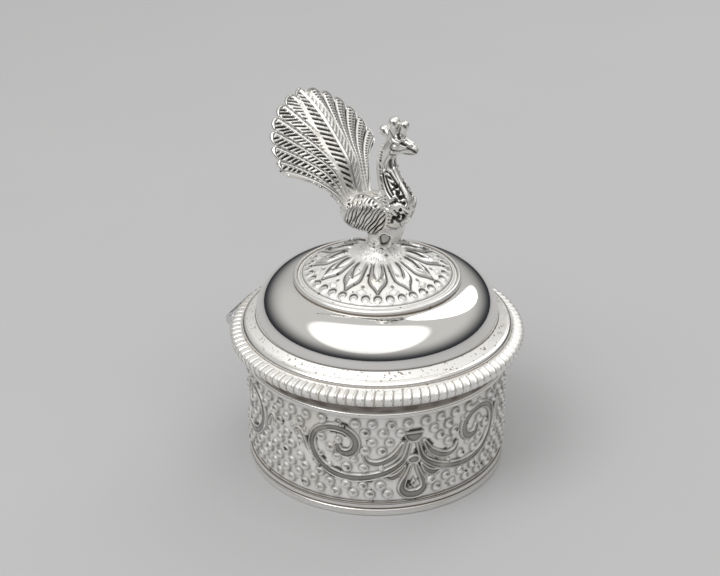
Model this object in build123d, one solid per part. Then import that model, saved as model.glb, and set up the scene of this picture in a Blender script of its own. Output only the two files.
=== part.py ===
from build123d import *
import os
from math import cos, radians, sin

# Kumkum box: a round silver box with a hinged domed lid and a peacock finial.
# Millimetres, +Z up, origin at the centre of the underside.
# The front is -Y, and the hinge is at the back, on +Y, with its pin along X.

# Body, from the table up
WALL_RADIUS = 22.9  # outside of the embossed wall, at the middle of its relief
MOULDING_PROUD = 0.4  # of the foot and the plain collar, past the wall
WALL_SHEET = 0.6
BASE_THICKNESS = 0.8
FOOT_HEIGHT = 2.6
FOOT_LINE_HEIGHT = 0.6  # the narrower line at the top of the foot
FOOT_LINE_INSET = 0.2
FIELD_HEIGHT = 17.1  # embossed field between the foot and the ridge
RIDGE_HEIGHT = 0.7
RIDGE_PROUD = 0.2  # how far the ridge stands out past the collar
COLLAR_HEIGHT = 2.8
BEZEL_SHEET = 0.6
BEZEL_RISE = 1.8  # above the mouth, into the lid
BEZEL_DEPTH = 4.0  # below the mouth, soldered to the wall

# Lid
LID_GAP = 0.1  # between the mouth and the closed lid
LID_CLEARANCE = 0.3  # around the bezel
RIM_OVERHANG = 2.7  # of the reeded rim, past the collar
RIM_HEIGHT = 2.3
RIM_BULGE_HEIGHT = 1.25  # where the reeded rim is widest
RIM_TOP_INSET = 1.7  # from the widest place in to the rim's top edge
RIM_BOTTOM_INSET = 0.55
RIM_LAP = 0.3  # from the collar's outside to the inside of the rim
SEAT_THICKNESS = 0.8
FLANGE_STEP = 0.5  # bright step between the reeding and the frosted slope
FLANGE_STEP_RISE = 0.65
FLANGE_WIDTH = 2.35  # of the frosted slope
FLANGE_RISE = 1.5
FLANGE_SHEET = 0.7
DOME_SHOULDER = 6.7  # from the dome's foot in to the rosette's border
DOME_RISE = 6.7  # the dome's section is a quarter ellipse
DOME_SHEET = 0.6
DOME_LEDGE = 0.9  # inward ledge of the flange under the dome's foot
FLANGE_UNDERCUT = 0.23  # from the dome's foot in to the underside of the slope

# Rosette plate on the dome
BORDER_WIDTH = 0.85
BORDER_HEIGHT = 0.85
ROSETTE_SHEET = 0.6
ROSETTE_RISE = 4.55
ROSETTE_CROWN = 0.35  # how far the plate swells above a straight cone
ROSETTE_LAP = 1.3  # width of the dome's shelf under the plate
PETALS = 12
PETAL_TURN = -156.0  # degrees about Z, of one petal
PETAL_INSET = 1.1  # from the pedestal's edge out to a petal's foot
PETAL_MARGIN = 3.0  # from a petal's tip out to the plate's edge
PETAL_FOOT_WIDTH = 1.8
PETAL_WIDTH = 3.2
PETAL_RISE = 0.35

# Finial fixing
PEDESTAL_RADIUS = 3.1
STUD_RADIUS = 1.25
STUD_CLEARANCE = 0.05
STUD_TAIL = 0.5  # of the stud below its nut
WASHER_INSET = 0.3  # from the pedestal's edge in to the washer's
WASHER_THICKNESS = 0.4
NUT_ACROSS_FLATS = 4.6
NUT_HEIGHT = 1.8

# Peacock: stations along the middle of the body, measured from the rosette's crown
BIRD_TURN = -21.0  # degrees about Z, from facing straight to the front
HEAD_TURN = 17.0  # degrees about Z, from the body to the head
NECK_STATIONS = 10  # from the rump to the top of the neck, and the rest are the head's
# forward, up, slope of the body's middle in degrees, half height, half width
BIRD_STATIONS = (
    (-7.7, 5.4, 16, 0.7, 0.7),
    (-7.3, 5.45, 16, 1.9, 1.9),
    (-5.3, 5.9, 12, 3.0, 3.2),
    (-2.6, 6.6, 10, 3.45, 3.7),
    (0.8, 7.65, 24, 3.7, 4.05),
    (3.6, 9.2, 50, 3.55, 3.6),
    (4.9, 11.3, 88, 3.0, 2.7),
    (3.05, 13.9, 112, 2.35, 2.05),
    (2.05, 16.6, 98, 1.8, 1.6),
    (2.2, 18.4, 82, 1.6, 1.45),
    (3.1, 19.9, 56, 1.65, 1.5),
    (4.3, 20.9, 15, 1.7, 1.4),
    (5.5, 20.75, -10, 1.15, 0.9),
)
BEAK_LENGTH = 2.5
BEAK_RADIUS = 1.0
BEAK_TIP_RADIUS = 0.4
BEAK_DROOP = 24.0  # degrees below level
PEDESTAL_HEIGHT = 4.6
PEDESTAL_WAIST = 2.3
LEG_ARCH_RADIUS = 0.95
LEG_ARCH_HEIGHT = 2.1
# forward and up, in the head's own direction
CREST_FOOT = (3.3, 20.9)
CREST_BALLS = ((1.6, 22.75), (3.45, 24.5), (5.35, 24.2))
CREST_PRONG_RADIUS = 0.6
CREST_BALL_RADIUS = 0.9

# Tail: two scalloped plates in a shallow V, with one feather on the fold
TAIL_ROOT = (-5.1, 8.3)  # forward and up, from the rosette's crown
TAIL_LEAN = 42.4  # degrees back from upright
TAIL_SWEEP = 6.0  # degrees that each half is swept back from flat
TAIL_SIDE_FEATHERS = 6
TAIL_FEATHER_STEP = 8.0  # degrees
TAIL_LENGTH = 21.6  # along the fold
TAIL_SIDE_LENGTH = 15.2  # along the outermost feather
TAIL_EVEN_TAPER = 0.25  # share of that shortening that is even, and the rest grows outward
TAIL_THICKNESS = 0.9
TAIL_NOTCH = 0.94  # notch depth between feathers, as a share of their length
TAIL_BASE_WIDTH = 2.6
TAIL_BASE_DROP = 2.8
TAIL_EDGE_HOLLOW = 1.4  # how far the lower edge curves in
TAIL_QUILL_RADIUS = 0.6
TAIL_QUILL_START = 4.0

# Hinge
HINGE_OUT = 1.0  # from the rim's outside to the pin's axis
HINGE_DROP = 1.4  # from the lid's underside to the pin's axis
KNUCKLE_RADIUS = 1.4
PIN_RADIUS = 0.6
PIN_CLEARANCE = 0.05
PIN_HEAD_RADIUS = 0.95
PIN_HEAD_LENGTH = 0.4
MIDDLE_KNUCKLE = 2.8
OUTER_KNUCKLE = 2.5
KNUCKLE_GAP = 0.12
LEAF_SHEET = 0.5
LEAF_MARGIN = 0.1  # of the body's leaf from the collar's edges

# Heights that follow from those sizes
field_z = FOOT_HEIGHT
ridge_z = field_z + FIELD_HEIGHT
collar_z = ridge_z + RIDGE_HEIGHT
mouth_z = collar_z + COLLAR_HEIGHT
lid_z = mouth_z + LID_GAP
rim_top_z = lid_z + RIM_HEIGHT
flange_edge_z = rim_top_z + FLANGE_STEP_RISE
dome_z = flange_edge_z + FLANGE_RISE
shelf_z = dome_z + DOME_RISE
crown_z = shelf_z + ROSETTE_SHEET + ROSETTE_RISE
hinge_z = lid_z - HINGE_DROP

# Radii that follow from those sizes
wall_inner = WALL_RADIUS - WALL_SHEET
body_radius = WALL_RADIUS + MOULDING_PROUD
rim_radius = body_radius + RIM_OVERHANG
rim_inner = body_radius + RIM_LAP
rim_top_radius = rim_radius - RIM_TOP_INSET
rim_bottom_radius = rim_radius - RIM_BOTTOM_INSET
flange_edge_radius = rim_top_radius - FLANGE_STEP
dome_radius = flange_edge_radius - FLANGE_WIDTH
border_radius = dome_radius - DOME_SHOULDER
rosette_radius = border_radius - BORDER_WIDTH
hinge_y = rim_radius + HINGE_OUT
hinge_half = MIDDLE_KNUCKLE / 2 + KNUCKLE_GAP + OUTER_KNUCKLE


def ring(inner, outer, low, high):
    """A plain ring about Z."""
    hole = Cylinder(inner, high - low, align=(Align.CENTER, Align.CENTER, Align.MIN))
    solid = Cylinder(outer, high - low, align=(Align.CENTER, Align.CENTER, Align.MIN))
    return Pos(0, 0, low) * (solid - hole)


def turned(*edges):
    """A solid of revolution about Z from a closed profile of edges in the XZ plane."""
    return revolve(Plane.XZ * make_face(edges), Axis.Z)


def turned_polygon(*points):
    """A solid of revolution about Z from (radius, height) corners."""
    return revolve(Plane.XZ * make_face(Polyline(*points, close=True)), Axis.Z)


def base_disc():
    """The bottom of the box, inside the wall."""
    return Cylinder(wall_inner, BASE_THICKNESS, align=(Align.CENTER, Align.CENTER, Align.MIN))


def body_wall():
    """The rolled sheet that carries the embossed field, from the table to the mouth."""
    return ring(wall_inner, WALL_RADIUS, 0, mouth_z)


def foot_ring():
    """The stepped polished moulding around the foot."""
    line_radius = body_radius - FOOT_LINE_INSET
    step_z = FOOT_HEIGHT - FOOT_LINE_HEIGHT
    return turned_polygon(
        (WALL_RADIUS, 0),
        (body_radius, 0),
        (body_radius, step_z),
        (line_radius, step_z),
        (line_radius, FOOT_HEIGHT),
        (WALL_RADIUS, FOOT_HEIGHT),
    )


def ridge_ring():
    """The half-round wire between the embossed field and the collar."""
    low = (body_radius, ridge_z)
    high = (body_radius, collar_z)
    crest = (body_radius + RIDGE_PROUD, (ridge_z + collar_z) / 2)
    return turned(
        Line((WALL_RADIUS, ridge_z), low),
        ThreePointArc(low, crest, high),
        Line(high, (WALL_RADIUS, collar_z)),
        Line((WALL_RADIUS, collar_z), (WALL_RADIUS, ridge_z)),
    )


def collar_band():
    """The plain polished band under the lid."""
    return ring(WALL_RADIUS, body_radius, collar_z, mouth_z)


def inner_bezel():
    """The ring inside the mouth that stands up into the closed lid."""
    return ring(wall_inner - BEZEL_SHEET, wall_inner, mouth_z - BEZEL_DEPTH, mouth_z + BEZEL_RISE)


def lid_seat_ring():
    """The flat ring inside the rim that closes on the mouth."""
    return ring(wall_inner + LID_CLEARANCE, rim_inner, lid_z, lid_z + SEAT_THICKNESS)


def reeded_rim():
    """The bulging edge of the lid."""
    top = (rim_top_radius, rim_top_z)
    widest = (rim_radius, lid_z + RIM_BULGE_HEIGHT)
    bottom = (rim_bottom_radius, lid_z)
    return turned(
        Line((rim_inner, rim_top_z), top),
        ThreePointArc(top, widest, bottom),
        Line(bottom, (rim_inner, lid_z)),
        Line((rim_inner, lid_z), (rim_inner, rim_top_z)),
    )


def lid_flange():
    """The frosted slope from the rim up to the dome, with a ledge that the dome stands on."""
    ledge = dome_radius - DOME_LEDGE
    under_dome = dome_radius - FLANGE_UNDERCUT
    return turned_polygon(
        (rim_inner, rim_top_z),
        (rim_top_radius, rim_top_z),
        (flange_edge_radius, flange_edge_z),
        (dome_radius, dome_z),
        (ledge, dome_z),
        (ledge, dome_z - FLANGE_SHEET),
        (under_dome, dome_z - FLANGE_SHEET),
    )


def quarter_ellipse(centre, foot, top):
    """The dome's curve: upright at its foot, level at its top."""
    across = foot - centre
    return EllipticalCenterArc((centre, dome_z), across, top - dome_z, start_angle=0, arc_size=90)


def lid_dome():
    """The polished dome, with a level shelf that carries the rosette."""
    inner_shelf = rosette_radius - ROSETTE_LAP
    under_z = shelf_z - DOME_SHEET
    foot_inner = dome_radius - DOME_SHEET
    return turned(
        quarter_ellipse(border_radius, dome_radius, shelf_z),
        Line((border_radius, shelf_z), (inner_shelf, shelf_z)),
        Line((inner_shelf, shelf_z), (inner_shelf, under_z)),
        Line((inner_shelf, under_z), (border_radius, under_z)),
        quarter_ellipse(border_radius, foot_inner, under_z),
        Line((foot_inner, dome_z), (dome_radius, dome_z)),
    )


def rosette_slope(lift):
    """The plate's swelling upper curve, from its edge to its crown, raised by a height."""
    edge_z = shelf_z + ROSETTE_SHEET
    middle = (rosette_radius + PEDESTAL_RADIUS) / 2
    middle_z = (edge_z + crown_z) / 2 + ROSETTE_CROWN
    return ThreePointArc(
        (rosette_radius, edge_z + lift),
        (middle, middle_z + lift),
        (PEDESTAL_RADIUS, crown_z + lift),
    )


def petal():
    """One raised petal along +X, with its foot inside the plate's sheet."""
    foot = PEDESTAL_RADIUS + PETAL_INSET
    tip = (rosette_radius - PETAL_MARGIN, 0)
    middle = (foot + tip[0]) / 2
    left_foot = (foot, PETAL_FOOT_WIDTH / 2)
    right_foot = (foot, -PETAL_FOOT_WIDTH / 2)
    outline = make_face(
        [
            ThreePointArc(left_foot, (middle, PETAL_WIDTH / 2), tip),
            ThreePointArc(tip, (middle, -PETAL_WIDTH / 2), right_foot),
            Line(right_foot, left_foot),
        ]
    )
    leaf = Pos(0, 0, shelf_z) * extrude(outline, 2 * ROSETTE_RISE)
    top = rosette_slope(PETAL_RISE)
    bottom = rosette_slope(-ROSETTE_SHEET / 2)
    sheet = turned(top, Line(top @ 1, bottom @ 1), bottom, Line(bottom @ 0, top @ 0))
    return leaf & sheet


def rosette_plate():
    """The stamped plate that rises to the finial, bored for its stud."""
    hole = STUD_RADIUS + STUD_CLEARANCE
    top = rosette_slope(0)
    under = rosette_slope(-ROSETTE_SHEET)
    bore_top = (hole, crown_z)
    bore_bottom = (hole, crown_z - ROSETTE_SHEET)
    plate = turned(
        top,
        Line(top @ 1, bore_top),
        Line(bore_top, bore_bottom),
        Line(bore_bottom, under @ 1),
        under,
        Line(under @ 0, top @ 0),
    )
    leaf = petal()
    for number in range(PETALS):
        plate += Rot(0, 0, PETAL_TURN + number * 360 / PETALS) * leaf
    return plate


def rosette_border():
    """The wire around the rosette's edge."""
    outer = (border_radius, shelf_z)
    inner = (rosette_radius, shelf_z)
    crest = (rosette_radius + BORDER_WIDTH / 2, shelf_z + BORDER_HEIGHT)
    inner_top = (rosette_radius, shelf_z + ROSETTE_SHEET)
    return turned(
        Line(inner, outer),
        ThreePointArc(outer, crest, inner_top),
        Line(inner_top, inner),
    )


def bird_point(forward, up):
    """A point in the bird's own upright plane, which faces -Y before it is turned."""
    return Vector(0, -forward, up)


def bird_section(forward, up, slope, half_height, half_width):
    """One oval across the bird's body."""
    ahead = (0, -cos(radians(slope)), sin(radians(slope)))
    plane = Plane(origin=bird_point(forward, up), x_dir=(1, 0, 0), z_dir=ahead)
    return plane * Ellipse(half_width, half_height)


def rod(start, direction, length, start_radius, end_radius):
    """A round rod or cone from a point along a direction."""
    plane = Plane(origin=start, z_dir=direction)
    align = (Align.CENTER, Align.CENTER, Align.MIN)
    if start_radius == end_radius:
        return plane * Cylinder(start_radius, length, align=align)
    return plane * Cone(start_radius, end_radius, length, align=align)


def head_turn(solid):
    """Turns what the head carries about the top of the neck."""
    neck_forward = BIRD_STATIONS[NECK_STATIONS - 1][0]
    pivot = Pos(0, -neck_forward, 0)
    return pivot * Rot(0, 0, HEAD_TURN) * pivot.inverse() * solid


def crest_prong(forward, up):
    """One prong of the crest, from inside the head to its ball."""
    foot = bird_point(*CREST_FOOT)
    ball = bird_point(forward, up)
    reach = ball - foot
    prong = rod(foot, reach.normalized(), reach.length, CREST_PRONG_RADIUS, CREST_PRONG_RADIUS)
    return prong + Pos(*ball) * Sphere(CREST_BALL_RADIUS)


def peacock_at_origin():
    """The cast bird with its pedestal and stud, standing on z = 0 and facing -Y."""
    sections = [bird_section(*station) for station in BIRD_STATIONS[:NECK_STATIONS]]
    sections += [head_turn(bird_section(*station)) for station in BIRD_STATIONS[NECK_STATIONS:]]
    trunk = loft(sections)
    beak_foot = bird_point(*BIRD_STATIONS[-1][:2])
    droop = radians(BEAK_DROOP)
    beak_direction = Vector(0, -cos(droop), -sin(droop))
    beak = rod(beak_foot, beak_direction, BEAK_LENGTH, BEAK_RADIUS, BEAK_TIP_RADIUS)
    pedestal = rod(Vector(0, 0, 0), Vector(0, 0, 1), PEDESTAL_HEIGHT, PEDESTAL_RADIUS, PEDESTAL_WAIST)
    arch = rod(
        Vector(0, 2 * PEDESTAL_RADIUS, LEG_ARCH_HEIGHT),
        Vector(0, -1, 0),
        4 * PEDESTAL_RADIUS,
        LEG_ARCH_RADIUS,
        LEG_ARCH_RADIUS,
    )
    stud_length = ROSETTE_SHEET + WASHER_THICKNESS + NUT_HEIGHT + STUD_TAIL
    stud = rod(Vector(0, 0, 0), Vector(0, 0, -1), stud_length, STUD_RADIUS, STUD_RADIUS)
    bird = trunk + head_turn(beak) + (pedestal - arch) + stud
    for ball in CREST_BALLS:
        bird += head_turn(crest_prong(*ball))
    return bird


def feather_length(step):
    """Length of the feather that is this many steps from the fold."""
    share = step / TAIL_SIDE_FEATHERS
    taper = share * (TAIL_EVEN_TAPER + (1 - TAIL_EVEN_TAPER) * share)
    return TAIL_LENGTH - (TAIL_LENGTH - TAIL_SIDE_LENGTH) * taper


def feather_point(step, share=1.0):
    """A point in one half of the tail, across and along the fold."""
    angle = radians(step * TAIL_FEATHER_STEP)
    reach = feather_length(step) * share
    return Vector(reach * sin(angle), reach * cos(angle))


def tail_half_outline():
    """One half of the tail, flat, from the fold out to the lowest feather."""
    foot = Vector(0, -TAIL_BASE_DROP)
    base = Vector(TAIL_BASE_WIDTH, -TAIL_BASE_DROP)
    corner = feather_point(TAIL_SIDE_FEATHERS + 0.5, TAIL_NOTCH)
    chord = corner - base
    inward = Vector(-chord.Y, chord.X).normalized() * TAIL_EDGE_HOLLOW
    edges = [
        Line(foot, base),
        ThreePointArc(base, (base + corner) / 2 + inward, corner),
    ]
    for step in range(TAIL_SIDE_FEATHERS, 0, -1):
        below = feather_point(step + 0.5, TAIL_NOTCH)
        above = feather_point(step - 0.5, TAIL_NOTCH)
        edges.append(ThreePointArc(below, feather_point(step), above))
    notch = feather_point(0.5, TAIL_NOTCH)
    tip = Vector(0, TAIL_LENGTH)
    edges.append(TangentArc(tip, notch, tangent=(1, 0)))
    edges.append(Line(tip, foot))
    return make_face(edges)


def tail_half(side):
    """One half plate of the tail, with its quills, on the bird's left (1) or right (-1)."""
    lean = radians(TAIL_LEAN)
    sweep = radians(TAIL_SWEEP)
    along = Vector(0, sin(lean), cos(lean))
    ahead = Vector(0, -cos(lean), sin(lean))
    across = Vector(side, 0, 0) * cos(sweep) - ahead * sin(sweep)
    plane = Plane(origin=bird_point(*TAIL_ROOT), x_dir=across, z_dir=across.cross(along))
    plate = extrude(tail_half_outline(), TAIL_THICKNESS / 2, both=True)
    for step in range(1, TAIL_SIDE_FEATHERS + 1):
        tip = feather_point(step, TAIL_NOTCH)
        direction = tip.normalized()
        length = tip.length - TAIL_QUILL_START
        start = direction * TAIL_QUILL_START
        plate += rod(start, direction, length, TAIL_QUILL_RADIUS, TAIL_QUILL_RADIUS)
    return plane * plate


def tail_at_origin():
    """The whole tail in the bird's frame, before the bird's rump is taken out of it."""
    lean = radians(TAIL_LEAN)
    along = Vector(0, sin(lean), cos(lean))
    fold = rod(bird_point(*TAIL_ROOT), along, TAIL_LENGTH * TAIL_NOTCH, TAIL_QUILL_RADIUS, TAIL_QUILL_RADIUS)
    return tail_half(1) + tail_half(-1) + fold


def on_crown(solid):
    """Stands a piece of the finial on the rosette's crown, turned as the bird is."""
    return Pos(0, 0, crown_z) * Rot(0, 0, BIRD_TURN) * solid


def finial_washer():
    """The washer under the rosette."""
    top = crown_z - ROSETTE_SHEET
    radius = PEDESTAL_RADIUS - WASHER_INSET
    return ring(STUD_RADIUS + STUD_CLEARANCE, radius, top - WASHER_THICKNESS, top)


def finial_nut():
    """The nut that draws the finial down."""
    top = crown_z - ROSETTE_SHEET - WASHER_THICKNESS
    hexagon = RegularPolygon(NUT_ACROSS_FLATS / 2, 6, major_radius=False) - Circle(STUD_RADIUS)
    return Pos(0, 0, top - NUT_HEIGHT) * extrude(hexagon, NUT_HEIGHT)


def across_hinge(start, length, radius):
    """A round bar along the hinge's axis, from a place on X."""
    return Pos(start, hinge_y, hinge_z) * rod(Vector(0, 0, 0), Vector(1, 0, 0), length, radius, radius)


def block(low, high):
    """A box between two corners."""
    size = Vector(*high) - Vector(*low)
    return Pos(*low) * Box(*size, align=(Align.MIN, Align.MIN, Align.MIN))


def body_hinge_leaf():
    """The body's leaf: a curved plate on the collar, with two knuckles."""
    leaf = ring(body_radius, body_radius + LEAF_SHEET, collar_z + LEAF_MARGIN, mouth_z - LEAF_MARGIN)
    leaf &= block((-hinge_half, 0, 0), (hinge_half, 2 * hinge_y, lid_z))
    collar = Cylinder(body_radius, mouth_z, align=(Align.CENTER, Align.CENTER, Align.MIN))
    web_top = min(hinge_z + PIN_RADIUS, mouth_z - LEAF_MARGIN)
    for start in (-hinge_half, hinge_half - OUTER_KNUCKLE):
        web_low = (start, 0, max(hinge_z - KNUCKLE_RADIUS, collar_z + LEAF_MARGIN))
        web_high = (start + OUTER_KNUCKLE, hinge_y, web_top)
        leaf += block(web_low, web_high) - collar
        leaf += across_hinge(start, OUTER_KNUCKLE, KNUCKLE_RADIUS)
    return leaf - across_hinge(-hinge_half, 2 * hinge_half, PIN_RADIUS)


def lid_hinge_leaf():
    """The lid's leaf: a pad under the rim, with the middle knuckle."""
    half = MIDDLE_KNUCKLE / 2
    pad_inner = body_radius + LEAF_SHEET + LID_CLEARANCE
    pad = block((-half, pad_inner, lid_z - LEAF_SHEET), (half, hinge_y, lid_z))
    knuckle = across_hinge(-half, MIDDLE_KNUCKLE, KNUCKLE_RADIUS)
    return pad + knuckle - across_hinge(-half, MIDDLE_KNUCKLE, PIN_RADIUS + PIN_CLEARANCE)


def hinge_pin():
    """The pin through the three knuckles, headed at both ends."""
    pin = across_hinge(-hinge_half, 2 * hinge_half, PIN_RADIUS)
    pin += across_hinge(-hinge_half - PIN_HEAD_LENGTH, PIN_HEAD_LENGTH, PIN_HEAD_RADIUS)
    pin += across_hinge(hinge_half, PIN_HEAD_LENGTH, PIN_HEAD_RADIUS)
    return pin


bird_casting = peacock_at_origin()
pieces = {
    "base_disc": base_disc(),
    "foot_ring": foot_ring(),
    "body_wall": body_wall(),
    "ridge_ring": ridge_ring(),
    "collar_band": collar_band(),
    "inner_bezel": inner_bezel(),
    "body_hinge_leaf": body_hinge_leaf(),
    "hinge_pin": hinge_pin(),
    "lid_seat_ring": lid_seat_ring(),
    "reeded_rim": reeded_rim(),
    "lid_flange": lid_flange(),
    "lid_dome": lid_dome(),
    "rosette_plate": rosette_plate(),
    "rosette_border": rosette_border(),
    "lid_hinge_leaf": lid_hinge_leaf(),
    "peacock_body": on_crown(bird_casting),
    "peacock_tail": on_crown(tail_at_origin() - bird_casting),
    "finial_washer": finial_washer(),
    "finial_nut": finial_nut(),
}

os.makedirs("parts", exist_ok=True)
for name, solid in pieces.items():
    export_step(solid, f"parts/{name}.step")
    print(name, round(solid.volume, 1), len(solid.solids()))
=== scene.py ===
"""Kumkum box: the looks of every piece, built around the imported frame.

Sizes are millimetres in the frame's own axes, and become metres where a mesh is made.
"""

from __future__ import annotations

import logging
import math
from dataclasses import dataclass
from enum import Enum
from typing import Sequence

import bpy
import numpy as np
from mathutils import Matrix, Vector

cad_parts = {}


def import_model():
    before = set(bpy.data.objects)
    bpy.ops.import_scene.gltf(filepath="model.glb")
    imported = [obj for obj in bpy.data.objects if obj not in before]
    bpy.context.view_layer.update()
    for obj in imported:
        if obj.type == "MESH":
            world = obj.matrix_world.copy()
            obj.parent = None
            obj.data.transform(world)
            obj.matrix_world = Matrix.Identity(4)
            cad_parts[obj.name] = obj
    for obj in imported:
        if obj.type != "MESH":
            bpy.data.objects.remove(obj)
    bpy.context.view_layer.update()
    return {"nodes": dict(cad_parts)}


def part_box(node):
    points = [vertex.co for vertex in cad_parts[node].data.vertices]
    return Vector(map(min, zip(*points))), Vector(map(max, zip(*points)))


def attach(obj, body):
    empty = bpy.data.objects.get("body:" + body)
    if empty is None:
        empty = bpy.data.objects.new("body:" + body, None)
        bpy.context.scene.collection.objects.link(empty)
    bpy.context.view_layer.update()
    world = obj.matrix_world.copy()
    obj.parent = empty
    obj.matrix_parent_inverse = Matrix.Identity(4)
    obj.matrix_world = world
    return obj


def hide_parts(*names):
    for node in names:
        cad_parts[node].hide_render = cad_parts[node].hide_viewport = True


Array = np.ndarray
Values = np.ndarray | float
Piece = bpy.types.Object
Relief = tuple[Array, Array, Array]  # height, burnish and darkness of a surface's points
Colour = tuple[float, float, float]
Point = tuple[float, float]
Triple = tuple[float, float, float]
Line = tuple[Point, ...]
Triples = tuple[Triple, ...]

MM = 0.001
SHARP_ANGLE = math.radians(50)
CORNER_REACH = 0.45  # most of a side that a rounded corner takes up
CORNER_LEAD = 0.2  # of a corner's reach, from its rounding to the next point
PIT_EDGES = (0.73, 0.78)  # noise where a pit begins and where it is darkest, before a finish's share
WORN_TINT = (0.86, 0.82, 0.75)
BLOTCH_WAVES = 14
log = logging.getLogger("kumkum_box")


class Body(Enum):
    """The two bodies of the frame."""

    BOX = "box"
    LID = "lid"


class Slot(Enum):
    """Material slot names that the finishes carry."""

    MIRROR = "mirror_silver"
    POLISHED = "polished_silver"
    FROSTED = "frosted_silver"
    CAST = "cast_silver"
    HINGE = "hinge_metal"


class Mark(Enum):
    """Finish marks that a mesh carries at its points: burnish, and darkness that holds both tarnish and
    painted shade.
    """

    POLISH = "polish"
    TARNISH_AND_SHADE = "tarnish_and_shade"


def eased(low: float, high: float, value: Array) -> Array:
    """Eases from 0 at low to 1 at high, in either order."""
    share = np.clip((value - low) / (high - low), 0.0, 1.0)
    return share * share * (3.0 - 2.0 * share)


def faded(low: float, high: float, value: Array) -> Array:
    """Eases from 1 at low to 0 at high."""
    return 1.0 - eased(low, high, value)


def hump(value: Array, middle: float, width: float) -> Array:
    """A rounded peak of height 1."""
    return np.exp(-(((value - middle) / width) ** 2))


def smooth_path(points: Sequence[Sequence[float]], steps: int) -> Array:
    """Samples a smooth curve through a few points.

    Args:
        points: The points, of any number of coordinates.
        steps: Samples from each point to the next.

    Returns:
        The samples in order, the last point among them.
    """
    given = np.asarray(points, float)
    first = 2 * given[0] - given[1]
    last = 2 * given[-1] - given[-2]
    padded = np.vstack([first, given, last])
    t = np.linspace(0.0, 1.0, steps, endpoint=False)[:, None]
    parts = []
    for a, b, c, d in zip(padded[:-3], padded[1:-2], padded[2:-1], padded[3:]):
        bend = (2 * a - 5 * b + 4 * c - d) * t**2 + (3 * b - a - 3 * c + d) * t**3
        parts.append(0.5 * (2 * b + (c - a) * t + bend))
    return np.vstack([*parts, given[-1:]])


def rounded_loop(corners: Sequence[Triple], steps: int = 5) -> Array:
    """Rounds the corners of a closed section.

    Args:
        corners: Radius, height and rounding of each corner, in order.
        steps: Points on each rounded corner, past its first.

    Returns:
        Points of radius and height around the loop.
    """
    loop = []
    count = len(corners)
    for index, (radius, height, rounding) in enumerate(corners):
        here = np.array([radius, height])
        before = np.array(corners[index - 1][:2]) - here
        after = np.array(corners[(index + 1) % count][:2]) - here
        reach_before = min(rounding, CORNER_REACH * np.linalg.norm(before))
        reach_after = min(rounding, CORNER_REACH * np.linalg.norm(after))
        start = here + before / np.linalg.norm(before) * reach_before
        end = here + after / np.linalg.norm(after) * reach_after
        loop.append(start + (start - here) * CORNER_LEAD)
        for share in np.linspace(0.0, 1.0, steps + 1):
            loop.append((1 - share) ** 2 * start + 2 * share * (1 - share) * here + share**2 * end)
        loop.append(end + (end - here) * CORNER_LEAD)
    return np.array(loop)


def steps_round(count: int) -> Array:
    """Even angles once about the box's axis, in radians."""
    return np.linspace(-math.pi, math.pi, count, endpoint=False)


def from_middle(angle: Values, step: float) -> Values:
    """Angle from the middle of the repeat that it falls in, where each repeat is a step wide."""
    return (angle + step / 2) % step - step / 2


class Place:
    """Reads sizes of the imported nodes, in millimetres."""

    @staticmethod
    def low(node: str) -> float:
        """Lowest height of a node."""
        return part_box(node)[0].z / MM

    @staticmethod
    def high(node: str) -> float:
        """Greatest height of a node."""
        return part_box(node)[1].z / MM

    @staticmethod
    def span(node: str) -> Point:
        """Lowest and greatest height of a node."""
        return Place.low(node), Place.high(node)

    @staticmethod
    def radius(node: str) -> float:
        """Reach of a round node from the box's axis, along X."""
        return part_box(node)[1].x / MM


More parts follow.
